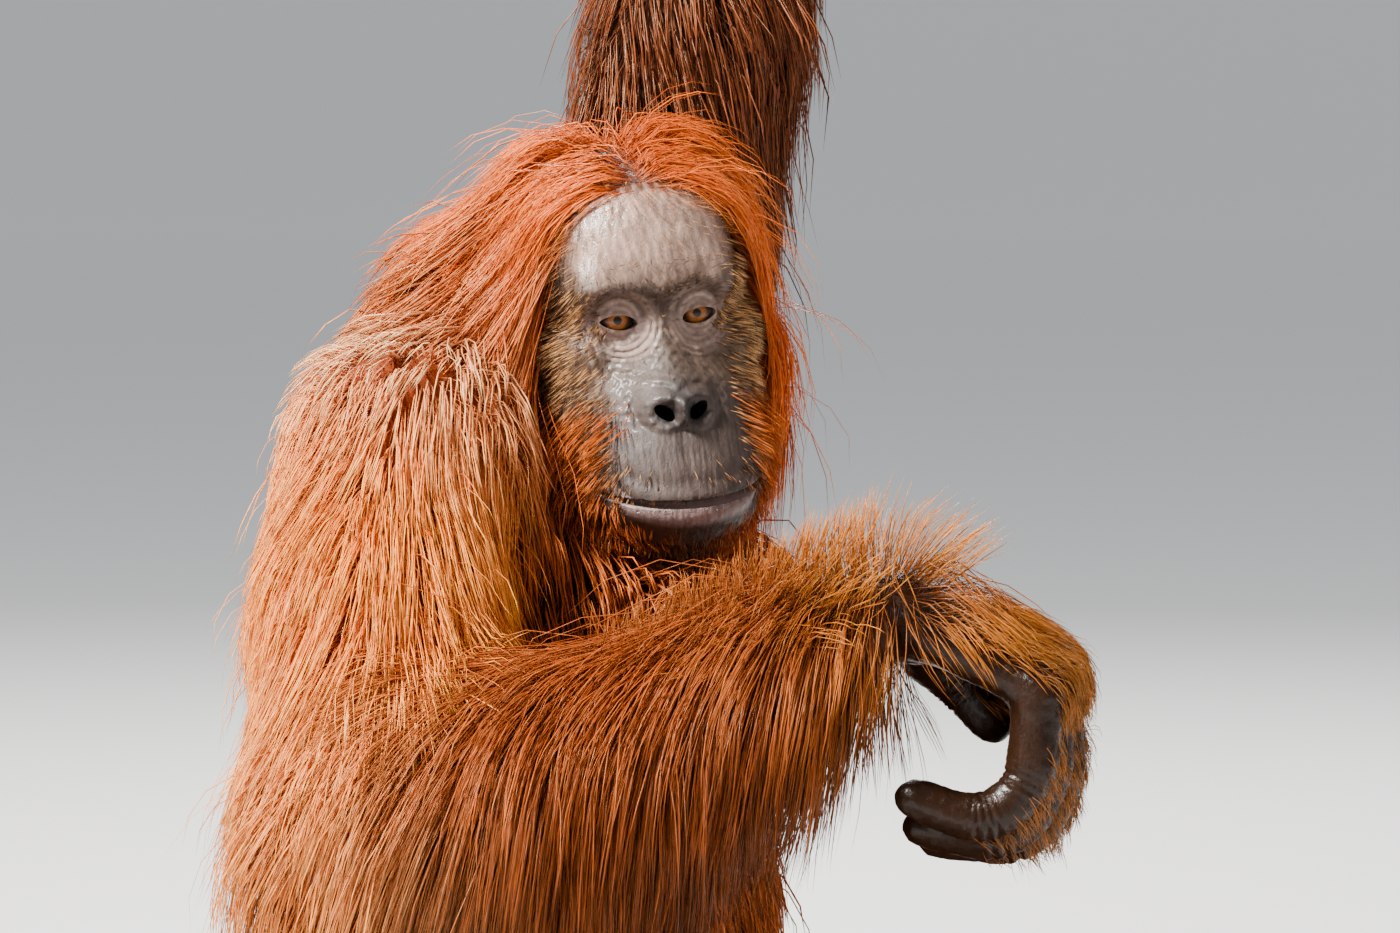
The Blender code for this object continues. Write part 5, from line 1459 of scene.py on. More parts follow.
def build_beard(head):
    """Orange beard along the jaw that curves down and forward."""
    soil = sown(head, BEARD_DENSITY, beard_zone, 201)
    rng, count = soil["rng"], len(soil["roots"])
    local = in_head(soil["roots"])
    under = bump(local[:, 0], 0.030) * step(-local[:, 2], 0.09, 0.11)
    left = step(local[:, 0], 0.005, 0.025)
    lie = np.tile((0.0, -0.45, -1.0), (count, 1))
    lie[:, 0] = np.tanh(local[:, 0] / 0.03) * 0.25
    shorter = (1 - 0.35 * under) * (1 - 0.60 * step(-local[:, 1], 0.045, 0.075))
    lengths, lifts, bend, heights = (0.018, 0.046), (0.25, 0.70), (0.5, 0.5), (0.2, 1.0)
    paths = strands(
        soil, lie @ HEAD_TURN.T, 0.012, lengths, lifts, bend, heights, 4, (9, 0.6), shorter, 1 - 0.6 * left
    )
    # Darker under the chin: partly the beard's own darker brown, partly painted shade
    roots = mix((0.24, 0.040, 0.005), (0.034, 0.015, 0.008), under)
    tips = mix((0.58, 0.118, 0.008), (0.12, 0.040, 0.014), under)
    return coat_piece("coat_beard", soil, paths, rng.uniform(0.00045, 0.00085, count), roots, tips)


def build_fuzz(head):
    """Short golden fuzz on the cheeks, dark fuzz on the brows, and fine hairs on the chin."""
    soil = sown(head, FUZZ_DENSITY, cheek_zone, 211)
    rng, count = soil["rng"], len(soil["roots"])
    local = in_head(soil["roots"])
    cheek = step(abs(local[:, 0]), 0.034, 0.044)
    high = step(local[:, 2], 0.026, 0.034)
    brow = (local[:, 2] > 0.0) * (1 - cheek) * (1 - high)
    edge = high * bump(hairline(local) + 0.004, 0.012)
    outward = np.tanh(local[:, 0] / 0.01) * (0.4 + 0.4 * brow)
    lie = np.column_stack([outward, 0.45 * cheek - 0.2, 0.5 * brow - 0.7 * (1 - brow)])
    shorter = 1.0 - 0.40 * brow + 1.0 * edge
    lengths, lifts, bend, heights = (0.004, 0.010), (0.04, 0.24), (0.15, 0.8), (0.3, 1.0)
    paths = strands(soil, lie @ HEAD_TURN.T, 0.0022, lengths, lifts, bend, heights, 2, (7, 0.4), shorter)
    dark = np.maximum(brow, rng.random(count) < 0.42)
    roots = mix((0.150, 0.062, 0.022), (0.030, 0.016, 0.011), dark)
    tips = mix((0.80, 0.400, 0.150), (0.080, 0.038, 0.020), dark)
    roots = mix(roots, (0.40, 0.085, 0.015), 0.9 * edge)
    tips = mix(tips, (0.85, 0.260, 0.060), 0.9 * edge)
    low = step(-local[:, 2], 0.038, 0.060) * cheek
    tips = mix(tips, (0.56, 0.120, 0.012), 0.85 * low * (1 - dark))
    fine = rng.uniform(0.00035, 0.00060, count) * (1.0 - 0.35 * high)
    return coat_piece("coat_face", soil, paths, fine, roots, tips)


def build_standing_hair(body):
    """Golden hair that stands up along the top of the right wrist and forearm."""
    soil = sown(body, STANDING_DENSITY, wrist_top, 141)
    rng, count = soil["rng"], len(soil["roots"])
    lie = np.tile(0.9 * HAND_OUT + 0.25 * HAND_SIDE, (count, 1)) + rng.normal(0.0, 0.35, (count, 3))
    far = step(np.linalg.norm(soil["roots"] - JOINTS["wrist_right"], axis=1), 0.045, 0.085)
    lengths, lifts, bend, heights = (0.022, 0.056), (0.5, 2.4), (0.10, 0.1), (0.6, 1.0)
    paths = strands(soil, lie, 0.03, lengths, lifts, bend, heights, 4, (12, 0.5), 1.0 - 0.30 * far)
    roots = mix((0.22, 0.060, 0.007), (0.13, 0.028, 0.004), far)
    tips = mix((0.64, 0.205, 0.020), (0.36, 0.092, 0.011), far)
    return coat_piece("coat_wrist_right", soil, paths, rng.uniform(0.0005, 0.0009, count), roots, tips)


# Materials
def shader_of(name):
    material = bpy.data.materials.get(name)
    if material is not None:
        return material, None
    material = bpy.data.materials.new(name)
    material.use_nodes = True
    return material, material.node_tree.nodes["Principled BSDF"]


def node(material, kind, **settings):
    made = material.node_tree.nodes.new("ShaderNode" + kind)
    for name, value in settings.items():
        if name in made.inputs:
            made.inputs[name].default_value = value
        else:
            setattr(made, name, value)
    return made


def wire(material, *pairs):
    for start, end in pairs:
        material.node_tree.links.new(start, end)


def noise(material, scale, detail=3.0, roughness=0.55, stretch=None):
    """Noise on Object coordinates, stretched along an axis where asked."""
    coords = node(material, "TexCoord")
    mapping = node(material, "Mapping")
    if stretch is not None:
        mapping.inputs["Scale"].default_value = stretch
    made = node(material, "TexNoise", Scale=scale, Detail=detail, Roughness=roughness)
    wire(material, (coords.outputs["Object"], mapping.inputs["Vector"]))
    wire(material, (mapping.outputs["Vector"], made.inputs["Vector"]))
    return made


def ranged(material, source, low, high):
    """A value brought into the range from low to high."""
    made = node(material, "MapRange")
    made.inputs["From Min"].default_value = 0.3
    made.inputs["From Max"].default_value = 0.7
    made.inputs["To Min"].default_value = low
    made.inputs["To Max"].default_value = high
    wire(material, (source, made.inputs["Value"]))
    return made.outputs["Result"]


def shaded(material, colour, factor):
    """The colour multiplied by a factor."""
    made = node(material, "Mix", data_type="RGBA", blend_type="MULTIPLY")
    made.inputs[0].default_value = 1.0
    wire(material, (colour, made.inputs[6]), (factor, made.inputs[7]))
    return made.outputs[2]


def tinted(material, factor):
    """The colour painted on the piece, multiplied by a factor."""
    return shaded(material, node(material, "Attribute", attribute_name="tint").outputs["Color"], factor)


def set_sockets(shader, sockets):
    """Sets numbers and colours that are the same all over a surface."""
    for name, value in sockets.items():
        shader.inputs[name].default_value = value


def bumped(material, shader, *layers):
    """Bumps one over another, each a height, a strength and a depth in metres."""
    before = None
    for height, strength, distance in layers:
        bump_node = node(material, "Bump", Strength=strength, Distance=distance)
        wire(material, (height, bump_node.inputs["Height"]))
        if before is not None:
            wire(material, (before.outputs["Normal"], bump_node.inputs["Normal"]))
        before = bump_node
    wire(material, (before.outputs["Normal"], shader.inputs["Normal"]))


def hair_material():
    material, shader = shader_of("long_coat")
    if shader is None:
        return material
    streaks = noise(material, 260.0, 2.0).outputs["Fac"]
    wire(material, (tinted(material, ranged(material, streaks, 0.82, 1.18)), shader.inputs["Base Color"]))
    wire(material, (ranged(material, streaks, 0.28, 0.42), shader.inputs["Roughness"]))
    set_sockets(shader, {"Specular IOR Level": 0.32, "Specular Tint": (1.0, 0.68, 0.40, 1.0)})
    set_sockets(shader, {"Sheen Weight": 0.05, "Sheen Roughness": 0.4, "Sheen Tint": (1.0, 0.72, 0.55, 1.0)})
    return material


def skin_material(name, pores, creases, gloss=0.5):
    material, shader = shader_of(name)
    if shader is None:
        return material
    blotches = noise(material, 90.0, 5.0).outputs["Fac"]
    specks = noise(material, 620.0, 3.0, 0.7).outputs["Fac"]
    colour = tinted(material, ranged(material, blotches, 0.80, 1.18))
    colour = shaded(material, colour, ranged(material, specks, 0.86, 1.14))
    wire(material, (colour, shader.inputs["Base Color"]))
    rough = node(material, "Attribute", attribute_name="rough")
    total = node(material, "Math", operation="ADD")
    wire(material, (rough.outputs["Fac"], total.inputs[0]))
    wire(material, (ranged(material, specks, -0.06, 0.12), total.inputs[1]))
    wire(material, (total.outputs[0], shader.inputs["Roughness"]))
    cells = node(material, "TexVoronoi", Scale=pores, feature="DISTANCE_TO_EDGE")
    coords = node(material, "TexCoord")
    wire(material, (coords.outputs["Object"], cells.inputs["Vector"]))
    lines = noise(material, creases, 4.0, 0.6, (1.0, 1.0, 0.35))
    bumped(
        material,
        shader,
        (lines.outputs["Fac"], 0.60, 0.0010),
        (cells.outputs["Distance"], 0.30, 0.0006),
        (specks, 0.35, 0.0003),
    )
    set_sockets(shader, {"Subsurface Weight": 0.06, "Subsurface Radius": (0.003, 0.0012, 0.0008)})
    set_sockets(shader, {"Specular IOR Level": gloss, "Coat Weight": 0.06})
    return material


def plain_painted(name, roughness, coat, gloss=0.5):
    """A finish that takes its colour from the piece's own attribute, with a fine grain in it."""
    material, shader = shader_of(name)
    if shader is None:
        return material
    fine = noise(material, 300.0, 4.0).outputs["Fac"]
    wire(material, (tinted(material, ranged(material, fine, 0.9, 1.1)), shader.inputs["Base Color"]))
    wire(material, (ranged(material, fine, roughness, roughness + 0.12), shader.inputs["Roughness"]))
    set_sockets(shader, {"Specular IOR Level": gloss, "Coat Weight": coat, "Coat Roughness": 0.03})
    return material


# Eyes, ears, nails and stand
GAZE = unit((-0.72, -0.69, -0.05))


def build_eye(side):
    """An eyeball with a raised clear front over an amber iris, turned to the gaze."""
    bm = bmesh.new()
    centre = on_head(EYE_PLACE * (side, 1.0, 1.0))
    turn = Vector((0.0, 0.0, 1.0)).rotation_difference(Vector(GAZE)).to_matrix().to_4x4()
    bmesh.ops.create_uvsphere(bm, u_segments=64, v_segments=96, radius=EYE_RADIUS)
    angles = []
    for vertex in bm.verts:
        angle = math.acos(max(-1.0, min(1.0, vertex.co.z / EYE_RADIUS)))
        angles.append(angle)
        vertex.co *= 1.0 + 0.045 * math.exp(-((angle / 0.42) ** 4))
    bmesh.ops.transform(bm, matrix=Matrix.Translation(centre) @ turn, verts=bm.verts[:])
    thing = from_bmesh("eyeball_" + side_name(side), bm)
    angles = np.array(angles)
    points = coordinates(thing.data)
    spokes = ripple(points, 0.0011, 61, 1) * 0.25 + 1.0
    options = bpy.context.scene.orangutan_face
    iris = np.array(options.iris) * spokes[:, None]
    colours = mix(iris * 1.1, iris * 0.45, step(angles, 0.40, 0.58))
    colours = mix((0.004, 0.003, 0.003), colours, step(angles, 0.19, 0.215))
    colours = mix(colours, (0.020, 0.011, 0.007), step(angles, 0.56, 0.64))
    colours = mix(colours, (0.055, 0.034, 0.024), step(angles, 0.80, 1.2))
    paint(thing.data, "tint", colours)
    return finished(thing, plain_painted("wet_eye", 0.16, 0.12, 0.22), "eye", "eye_" + side_name(side))


EAR_RADII = (0.0075, 0.0155, 0.0210)


def build_ear(side):
    """A small round ear with a rolled rim, its cup and its flap."""
    node_name = "ear_" + side_name(side)
    low, high = (np.array(corner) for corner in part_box(node_name))
    centre = middle(low, high)
    turn = HEAD_TURN @ np.array(Matrix.Rotation(math.radians(-28.0 * side), 3, "Z"))
    bm = bmesh.new()
    bmesh.ops.create_uvsphere(bm, u_segments=64, v_segments=48, radius=1.0)
    for vertex in bm.verts:
        x, y, z = vertex.co
        outer = side * x > 0
        rim = math.hypot(y * 1.08 + 0.08, z)
        inside = max(0.0, 1.0 - (rim / 0.78) ** 4) if outer else 0.0
        fold = 0.35 * math.exp(-(((rim - 0.50) / 0.10) ** 2)) if outer and y > -0.2 else 0.0
        vertex.co.x = x * (1.0 - 1.25 * inside) + side * fold * inside
        vertex.co.y = y * (1.0 + 0.08 * z)
    bmesh.ops.transform(bm, matrix=placing(centre, turn, EAR_RADII), verts=bm.verts[:])
    thing = from_bmesh(node_name + "_skin", bm)
    points = coordinates(thing.data)
    colours = np.array((0.055, 0.038, 0.032)) * (1 + 0.15 * ripple(points, 0.006, 71))[:, None]
    paint(thing.data, "tint", colours)
    set_roughness(thing.data, 0.42)
    return finished(thing, skin_material("ear_skin", 700.0, 300.0), "face", node_name)


def nail(bm, tip, along, back, size):
    """A curved plate let into the back of a digit's tip."""
    across = unit(np.cross(along, back))
    back = unit(np.cross(across, along))
    centre = tip + back * size * 0.60 - along * size * 0.30
    scale = (size * 0.62, size * 0.95, size * 0.42)
    place = placing(centre, np.column_stack([across, along, back]), scale)
    bmesh.ops.create_uvsphere(bm, u_segments=24, v_segments=16, radius=1.0, matrix=place)


def build_nails():
    """Dark nails on every finger, thumb and toe."""
    bm = bmesh.new()
    for side in SIDES:
        fingers, thumb = HANDS[side]
        for chain in fingers + [thumb]:
            size = FINGER_RADIUS * 0.84
            along = unit(chain[-1] - chain[-2])
            inside = BRANCH_CENTRE - chain[-1]
            back = np.cross(HAND_SIDE, along)
            if side == "left":
                back = -unit(inside - (inside @ BRANCH_ALONG) * BRANCH_ALONG)
            nail(bm, np.asarray(chain[-1]), along, back, size)
        toes, big = FOOT_JOINTS[side]
        for chain in toes + [big]:
            nail(bm, np.asarray(chain[-1]), unit(chain[-1] - chain[-2]), FEET[side][2], TOE_RADIUS * 0.84)
    thing = from_bmesh("nails", bm)
    paint(thing.data, "tint", np.full((len(thing.data.vertices), 3), (0.018, 0.013, 0.012)))
    return finished(thing, plain_painted("dark_nail", 0.28, 0.25), "hide")


GROWTH_RING = 0.0034
FURROW_DEPTH = 0.0026
BRANCH_RUN = ((-0.20, 0.004), (-0.08, 0.0), (0.0, 0.0), (0.08, 0.0), (0.20, 0.0), (0.30, 0.008))


def build_perch():
    """The cut branch: furrowed sides and sawn ends, in the frame's own bark finish.

    The colours of bark, with painted shade in its furrows, and of the growth rings are stored on the mesh,
    and that finish doesn't read them.
    """
    path = smooth_path([BRANCH_CENTRE + BRANCH_ALONG * along + lift * UP for along, lift in BRANCH_RUN], 120)
    bm = bmesh.new()
    bmesh.ops.create_circle(bm, cap_ends=False, segments=96, radius=1.0)
    ring = bm.edges[:]
    for _ in range(len(path) - 1):
        ring, verts = pulled_out(bm, ring)
        bmesh.ops.translate(bm, vec=(0.0, 0.0, 1.0), verts=verts)
    open_ends = [edge for edge in bm.edges if edge.is_boundary]
    first = [edge for edge in open_ends if edge.verts[0].co.z < 0.5]
    last = [edge for edge in open_ends if edge.verts[0].co.z > 0.5]
    for rim in (first, last):
        for _ in range(10):
            rim, verts = pulled_out(bm, rim)
            bmesh.ops.scale(bm, vec=(0.86, 0.86, 1.0), verts=verts)
        bmesh.ops.edgeloop_fill(bm, edges=rim)
    bmesh.ops.recalc_face_normals(bm, faces=bm.faces[:])
    side = unit(np.cross(BRANCH_ALONG, UP))
    cut = []
    for vertex in bm.verts:
        x, y, z = vertex.co
        row = int(round(z))
        reach = math.hypot(x, y)
        along = np.linalg.norm(path[row] - BRANCH_CENTRE)
        radius = BRANCH_RADIUS + 0.0035 * min(1.0, max(0.0, (along - 0.075) / 0.1))
        cut.append(reach < 0.97)
        tangent = unit(path[min(row + 1, len(path) - 1)] - path[max(row - 1, 0)])
        out = unit(x * side + y * np.cross(side, tangent))
        vertex.co = path[row] + out * radius * reach
    thing = from_bmesh("perch_bark", bm)
    points, cut = coordinates(thing.data), np.array(cut)
    local = points - BRANCH_CENTRE
    lengthwise = local @ BRANCH_ALONG
    turned = np.column_stack([lengthwise * 0.18, local @ side, local[:, 2]])
    furrow = ripple(turned, 0.016, 81) * 0.6 + ripple(turned, 0.0075, 82) * 0.45
    gripped = bump(lengthwise, 0.075)
    rough = np.where(cut, 0.0, -FURROW_DEPTH * (1 - 0.6 * gripped) * np.clip(furrow + 0.2, 0.0, 1.0))
    move_vertices(thing.data, points + vertex_normals(thing.data) * rough[:, None])
    # Painted shade: the bark darker the deeper its furrows
    colours = mix((0.115, 0.078, 0.052), (0.026, 0.018, 0.013), step(furrow, -0.25, 0.35))
    colours = mix(colours, (0.17, 0.155, 0.12), 0.35 * step(ripple(points, 0.03, 83), 0.35, 0.9))
    reach = np.hypot(local @ side, local[:, 2] - np.interp(lengthwise, (-0.2, 0.3), (0.004, 0.008)))
    rings = 0.5 + 0.5 * np.cos(reach * 2 * math.pi / GROWTH_RING + ripple(points, 0.02, 84))
    wood = mix((0.50, 0.34, 0.19), (0.36, 0.22, 0.11), rings)
    paint(thing.data, "tint", np.where(cut[:, None], wood, colours))
    return finished(thing, bpy.data.materials["bark"], "bark", "perch_branch")


def wood_material():
    material, shader = shader_of("base_wood")
    if shader is None:
        return material
    options = bpy.context.scene.orangutan_stand
    grain = noise(material, 9.0, 8.0, 0.6, (1.0, 14.0, 14.0))
    ramp = node(material, "ValToRGB")
    dark, light = np.array(options.wood) * 0.55, np.array(options.wood) * 1.25
    ramp.color_ramp.elements[0].position, ramp.color_ramp.elements[1].position = 0.32, 0.68
    ramp.color_ramp.elements[0].color = (*dark, 1.0)
    ramp.color_ramp.elements[1].color = (*light, 1.0)
    pores = noise(material, 120.0, 2.0, 0.5, (0.12, 1.0, 1.0))
    wire(material, (grain.outputs["Fac"], ramp.inputs["Fac"]))
    colour = shaded(material, ramp.outputs["Color"], ranged(material, pores.outputs["Fac"], 0.86, 1.08))
    wire(material, (colour, shader.inputs["Base Color"]))
    wire(material, (ranged(material, pores.outputs["Fac"], 0.36, 0.48), shader.inputs["Roughness"]))
    bumped(material, shader, (pores.outputs["Fac"], 0.25, 0.0004), (grain.outputs["Fac"], 0.15, 0.0006))
    return material


def steel_material():
    material, shader = shader_of("rod_steel")
    if shader is None:
        return material
    brushed = noise(material, 900.0, 2.0, 0.5, (1.0, 1.0, 0.02))
    set_sockets(shader, {"Base Color": (0.42, 0.41, 0.40, 1.0), "Metallic": 1.0})
    wire(material, (ranged(material, brushed.outputs["Fac"], 0.26, 0.42), shader.inputs["Roughness"]))
    bumped(material, shader, (brushed.outputs["Fac"], 0.2, 0.0002))
    return material


def rounded(bm, edges, radius, segments):
    """Rounds the edges off."""
    bmesh.ops.bevel(
        bm, geom=edges, offset=radius, segments=segments, affect="EDGES", profile=0.5, material=-1
    )


def build_stand():
    """The wooden base slab with rounded corners and edges, and the steel rod."""
    low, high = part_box("stand_base")
    bm = bmesh.new()
    size = high - low
    place = Matrix.Translation((low + high) / 2) @ Matrix.Diagonal((*size, 1.0))
    bmesh.ops.create_cube(bm, size=1.0, matrix=place)
    corners = [edge for edge in bm.edges if abs(edge.verts[0].co.z - edge.verts[1].co.z) > 0.01]
    rounded(bm, corners, 0.05, 16)
    top = [edge for edge in bm.edges if min(vertex.co.z for vertex in edge.verts) > high.z - 1e-4]
    rounded(bm, top, 0.008, 6)
    slab = from_bmesh("base_slab", bm)
    finished(slab, wood_material(), "base", "stand_base")
    low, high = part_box("stand_rod")
    bm = bmesh.new()
    radius = (high.x - low.x) / 2
    centre = Matrix.Translation((low + high) / 2)
    depth = high.z - low.z - 0.002
    bmesh.ops.create_cone(
        bm, cap_ends=True, segments=64, radius1=radius, radius2=radius, depth=depth, matrix=centre
    )
    rims = [edge for edge in bm.edges if abs(edge.verts[0].co.z - edge.verts[1].co.z) < 1e-5]
    rounded(bm, rims, 0.0015, 3)
    rod = from_bmesh("rod_steel", bm)
    return finished(rod, steel_material(), "steel", "stand_rod")


# Studio
SENSOR_WIDTH = 36.0
LENS = 153.0
CAMERA_AIM = Vector((0.00701, -0.03120, 0.51730))
CAMERA_PLACE = Vector((-2.85304, -2.03383, 0.76145))


def build_camera():
    camera = bpy.data.cameras.new("photo_view")
    camera.sensor_width = SENSOR_WIDTH
    camera.lens = LENS
    thing = linked("photo_view", camera)
    thing.location = CAMERA_PLACE
    thing.rotation_euler = (CAMERA_AIM - CAMERA_PLACE).to_track_quat("-Z", "Y").to_euler()
    bpy.context.scene.camera = thing


LIGHTS_AIM = Vector((0.0, 0.0, 0.6))
LIGHTS = (
    # name, place, size, share of the key light's power, colour, and whether gloss shows it
    ("key", (-1.95, 1.05, 2.95), 0.8, 1.0, (1.0, 0.965, 0.92), True),
    ("fill", (-1.2, -3.6, 1.5), 2.6, 0.11, (0.96, 0.98, 1.0), False),
    ("rim", (2.4, 1.4, 2.6), 1.4, 0.36, (1.0, 0.97, 0.94), True),
)


def area_light(name, place, size, energy, colour, glossy):
    light = bpy.data.lights.new(name, "AREA")
    light.shape = "DISK"
    light.size = size
    light.energy = energy
    light.color = colour
    thing = linked(name, light)
    thing.location = place
    thing.rotation_euler = (LIGHTS_AIM - Vector(place)).to_track_quat("-Z", "Y").to_euler()
    thing.visible_glossy = glossy
    thing.visible_camera = False


STAGE_RADIUS = 22.0
STAGE_RISE = 8.0


def build_studio():
    """A wide pale floor that rises into a wall all round, and three soft lights."""
    options = bpy.context.scene.orangutan_studio
    bm = bmesh.new()
    bmesh.ops.create_circle(bm, cap_ends=True, segments=128, radius=STAGE_RADIUS)
    rim = [edge for edge in bm.edges if edge.is_boundary]
    for turn in np.linspace(0.0, math.pi / 2, 17)[1:]:
        rim, verts = pulled_out(bm, rim)
        radius = STAGE_RADIUS + STAGE_RISE * math.sin(turn)
        for vertex in verts:
            reach = math.hypot(vertex.co.x, vertex.co.y)
            place = (vertex.co.x * radius / reach, vertex.co.y * radius / reach)
            vertex.co = (*place, STAGE_RISE * (1.0 - math.cos(turn)))
    floor = from_bmesh("studio_floor", bm)
    floor.data.shade_smooth()
    material, shader = shader_of("studio_floor")
    fine = noise(material, 6.0, 4.0)
    set_sockets(shader, {"Base Color": (*options.floor, 1.0)})
    set_sockets(shader, {"Emission Color": (0.90, 0.95, 1.0, 1.0), "Emission Strength": 0.32})
    wire(material, (ranged(material, fine.outputs["Fac"], 0.76, 0.84), shader.inputs["Roughness"]))
    floor.data.materials.append(material)
    floor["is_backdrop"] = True
    world = bpy.data.worlds.new("studio")
    world.use_nodes = True
    sky = world.node_tree.nodes["Background"]
    set_sockets(sky, {"Color": (0.80, 0.83, 0.86, 1.0), "Strength": options.ambient})
    bpy.context.scene.world = world
    for name, place, size, share, colour, glossy in LIGHTS:
        area_light(name, place, size, options.key * share, colour, glossy)


# Settings, operators and panel
class CoatSettings(bpy.types.PropertyGroup):
    length: bpy.props.FloatProperty(name="Length", description="Scale of the coat's length", default=1.0)
    density: bpy.props.FloatProperty(name="Density", description="Scale of the number of tufts", default=1.0)
    width: bpy.props.FloatProperty(name="Tuft width", description="Scale of the tufts' width", default=1.0)
    tone: bpy.props.FloatVectorProperty(
        name="Tone", description="Colour laid over the coat", subtype="COLOR", default=(1.0, 1.0, 1.0)
    )


class FaceSettings(bpy.types.PropertyGroup):
    iris: bpy.props.FloatVectorProperty(
        name="Iris", description="Colour of the iris", subtype="COLOR", default=(0.170, 0.056, 0.012)
    )


class StandSettings(bpy.types.PropertyGroup):
    wood: bpy.props.FloatVectorProperty(
        name="Wood", description="Colour of the base", subtype="COLOR", default=(0.115, 0.062, 0.034)
    )


class StudioSettings(bpy.types.PropertyGroup):
    floor: bpy.props.FloatVectorProperty(
        name="Floor", description="Colour of the floor", subtype="COLOR", default=(0.56, 0.56, 0.55)
    )
    ambient: bpy.props.FloatProperty(name="Ambient", description="Strength of the sky", default=0.23)
    key: bpy.props.FloatProperty(name="Key", description="Power of the key light", default=620.0)


FINGER_NODES = ("index", "middle", "ring", "little")


def flesh_nodes():
    names = ["neck", "torso"]
    for side in SIDES:
        names += [f"{part}_{side}" for part in ("upper_arm", "forearm", "hand", "thigh", "shin", "foot")]
        names += [f"finger_{finger}_{side}" for finger in FINGER_NODES] + ["thumb_" + side]
        names += [f"toe_{toe}_{side}" for toe in FINGER_NODES] + ["toe_big_" + side]
    return names


class SkinOperator(bpy.types.Operator):
    """Builds the head's skin with its face, the body's skin and the ears"""

    bl_idname = "orangutan.skin"
    bl_label = "Skin"

    def execute(self, context):
        head = build_head_skin()
        finished(head, skin_material("face_skin", 620.0, 330.0, 0.42), "face", "head")
        body = build_body_skin()
        finished(body, skin_material("dark_hide", 520.0, 260.0, 0.17), "hide", *flesh_nodes())
        for side in (-1, 1):
            build_ear(side)
        return {"FINISHED"}


class EyesOperator(bpy.types.Operator):
    """Builds the two eyes"""

    bl_idname = "orangutan.eyes"
    bl_label = "Eyes"

    def execute(self, context):
        for side in (-1, 1):
            build_eye(side)
        return {"FINISHED"}


class NailsOperator(bpy.types.Operator):
    """Builds the nails of hands and feet"""

    bl_idname = "orangutan.nails"
    bl_label = "Nails"

    def execute(self, context):
        build_nails()
        return {"FINISHED"}


class HeadCoatOperator(bpy.types.Operator):
    """Grows the hair of the scalp, the beard and the fuzz of the face"""

    bl_idname = "orangutan.head_coat"
    bl_label = "Head coat"

    def execute(self, context):
        head = bpy.data.objects["skin_head"]
        for seed, side in ((101, -1), (102, 1)):
            half = partial(half_scalp, side=side)
            part_coat("coat_scalp_" + side_name(side), head, ("head",), seed, (18, 0.45), where=half)
        part_coat("coat_neck", head, ("neck", "throat"), 111)
        build_beard(head)
        build_fuzz(head)
        return {"FINISHED"}


class BodyCoatOperator(bpy.types.Operator):
    """Grows the long coat of the trunk, the arms and the legs"""

    bl_idname = "orangutan.body_coat"
    bl_label = "Body coat"

    def execute(self, context):
        body = bpy.data.objects["skin_body"]
        for seed, name, sign in ((121, "coat_chest", 1.0), (122, "coat_back", -1.0)):
            part_coat(name, body, ("torso", "neck"), seed, where=partial(half_trunk, sign=sign), steps=3)
        for seed, part in enumerate(("upper_arm_right", "forearm_right"), 131):
            part_coat("coat_" + part, body, (part,), seed)
        plainer = ("upper_arm_left", "forearm_left", "thigh_right", "thigh_left", "shin_right", "shin_left")
        for seed, part in enumerate(plainer, 133):
            part_coat("coat_" + part, body, (part,), seed, steps=3)
        build_standing_hair(body)
        return {"FINISHED"}


class HandCoatOperator(bpy.types.Operator):
    """Grows the shorter hair of hands and feet, on their backs only"""

    bl_idname = "orangutan.hand_coat"
    bl_label = "Hand and foot coat"

    def execute(self, context):
        body = bpy.data.objects["skin_body"]
        for seed, side in enumerate(("right", "left"), 151):
            steps = 4 if side == "right" else 3
            hand, foot = ("hand_" + side, "finger_" + side), ("foot_" + side, "toe_" + side)
            on_hand, on_foot = partial(hand_back, side=side), partial(foot_back, side=side)
            part_coat("coat_hand_" + side, body, hand, seed, (7, 0.5), where=on_hand, steps=steps)
            part_coat("coat_foot_" + side, body, foot, seed + 10, (7, 0.5), where=on_foot, steps=3)
        return {"FINISHED"}


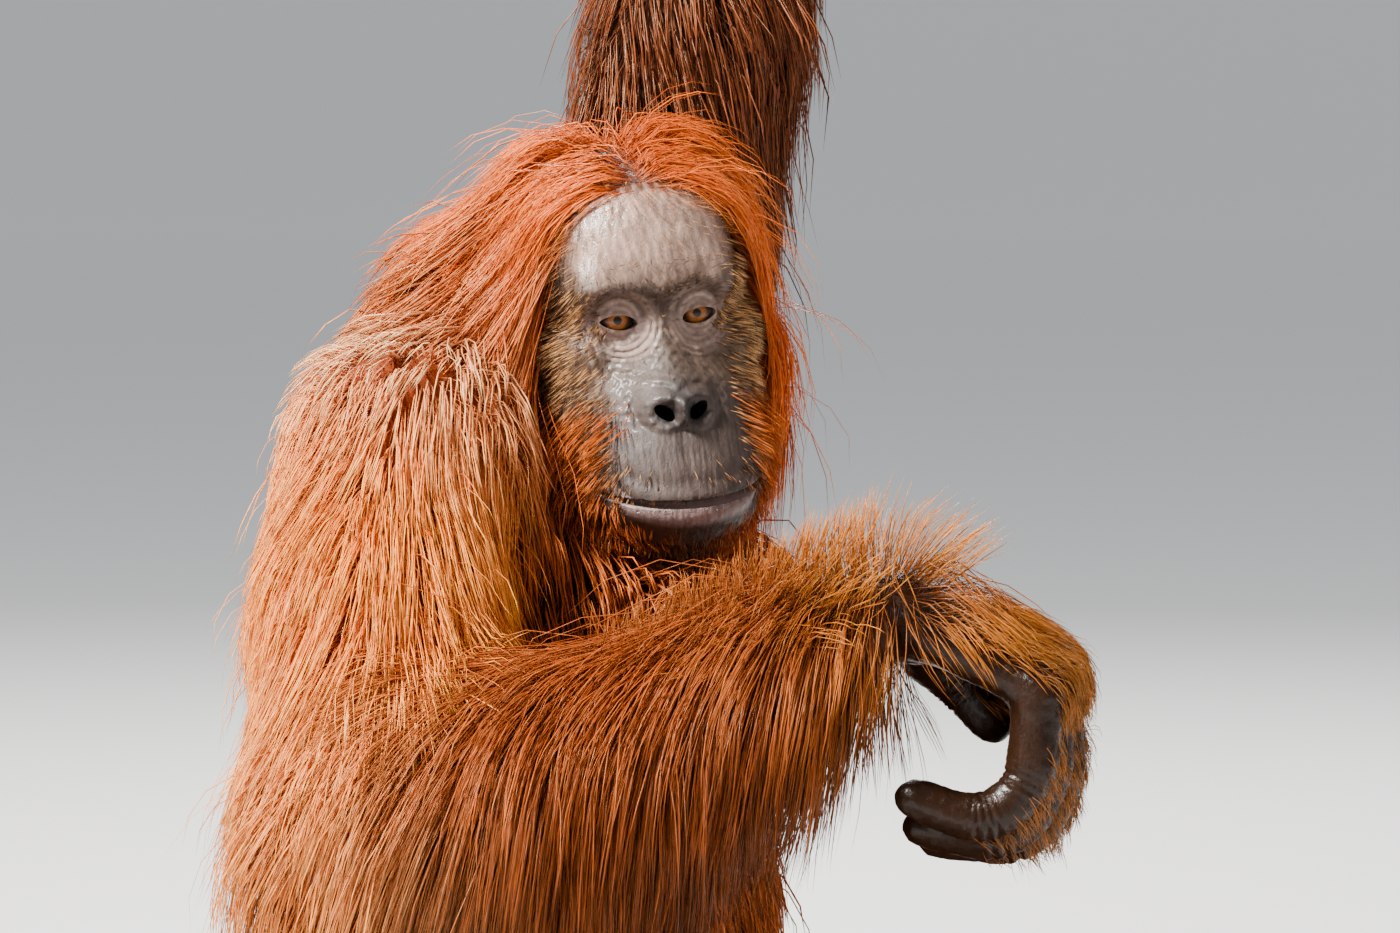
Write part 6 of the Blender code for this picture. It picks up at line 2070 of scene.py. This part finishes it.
class PerchOperator(bpy.types.Operator):
    """Builds the cut branch that the left hand holds"""

    bl_idname = "orangutan.perch"
    bl_label = "Perch"

    def execute(self, context):
        build_perch()
        return {"FINISHED"}


class StandOperator(bpy.types.Operator):
    """Builds the display base and its rod"""

    bl_idname = "orangutan.stand"
    bl_label = "Stand"

    def execute(self, context):
        build_stand()
        return {"FINISHED"}


class StudioOperator(bpy.types.Operator):
    """Builds the floor, the lights and the camera"""

    bl_idname = "orangutan.studio"
    bl_label = "Studio"

    def execute(self, context):
        build_camera()
        build_studio()
        return {"FINISHED"}


OPERATORS = (
    StudioOperator,
    SkinOperator,
    EyesOperator,
    NailsOperator,
    HeadCoatOperator,
    BodyCoatOperator,
    HandCoatOperator,
    PerchOperator,
    StandOperator,
)
SETTINGS = {
    "orangutan_coat": CoatSettings,
    "orangutan_face": FaceSettings,
    "orangutan_stand": StandSettings,
    "orangutan_studio": StudioSettings,
}


class OrangutanPanel(bpy.types.Panel):
    """Lists the settings and the steps that build the model"""

    bl_idname = "VIEW3D_PT_orangutan"
    bl_label = "Seated orangutan"
    bl_space_type = "VIEW_3D"
    bl_region_type = "UI"
    bl_category = "Orangutan"

    def draw(self, context):
        for name, group in SETTINGS.items():
            for setting in group.__annotations__:
                self.layout.prop(getattr(context.scene, name), setting)
        for operator in OPERATORS:
            self.layout.operator(operator.bl_idname)


def register():
    for made in (*SETTINGS.values(), *OPERATORS, OrangutanPanel):
        bpy.utils.register_class(made)
    for name, group in SETTINGS.items():
        setattr(bpy.types.Scene, name, bpy.props.PointerProperty(type=group))


def unregister():
    for name in SETTINGS:
        delattr(bpy.types.Scene, name)
    for made in reversed((*SETTINGS.values(), *OPERATORS, OrangutanPanel)):
        bpy.utils.unregister_class(made)


def main():
    register()
    for operator in OPERATORS:
        group, name = operator.bl_idname.split(".")
        getattr(getattr(bpy.ops, group), name)()
    boxes = {"cad": CAD_BOUNDS, "visual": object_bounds()}
    boxes = {name: [[float(value) for value in corner] for corner in box] for name, box in boxes.items()}


if __name__ == "__main__":
    main()
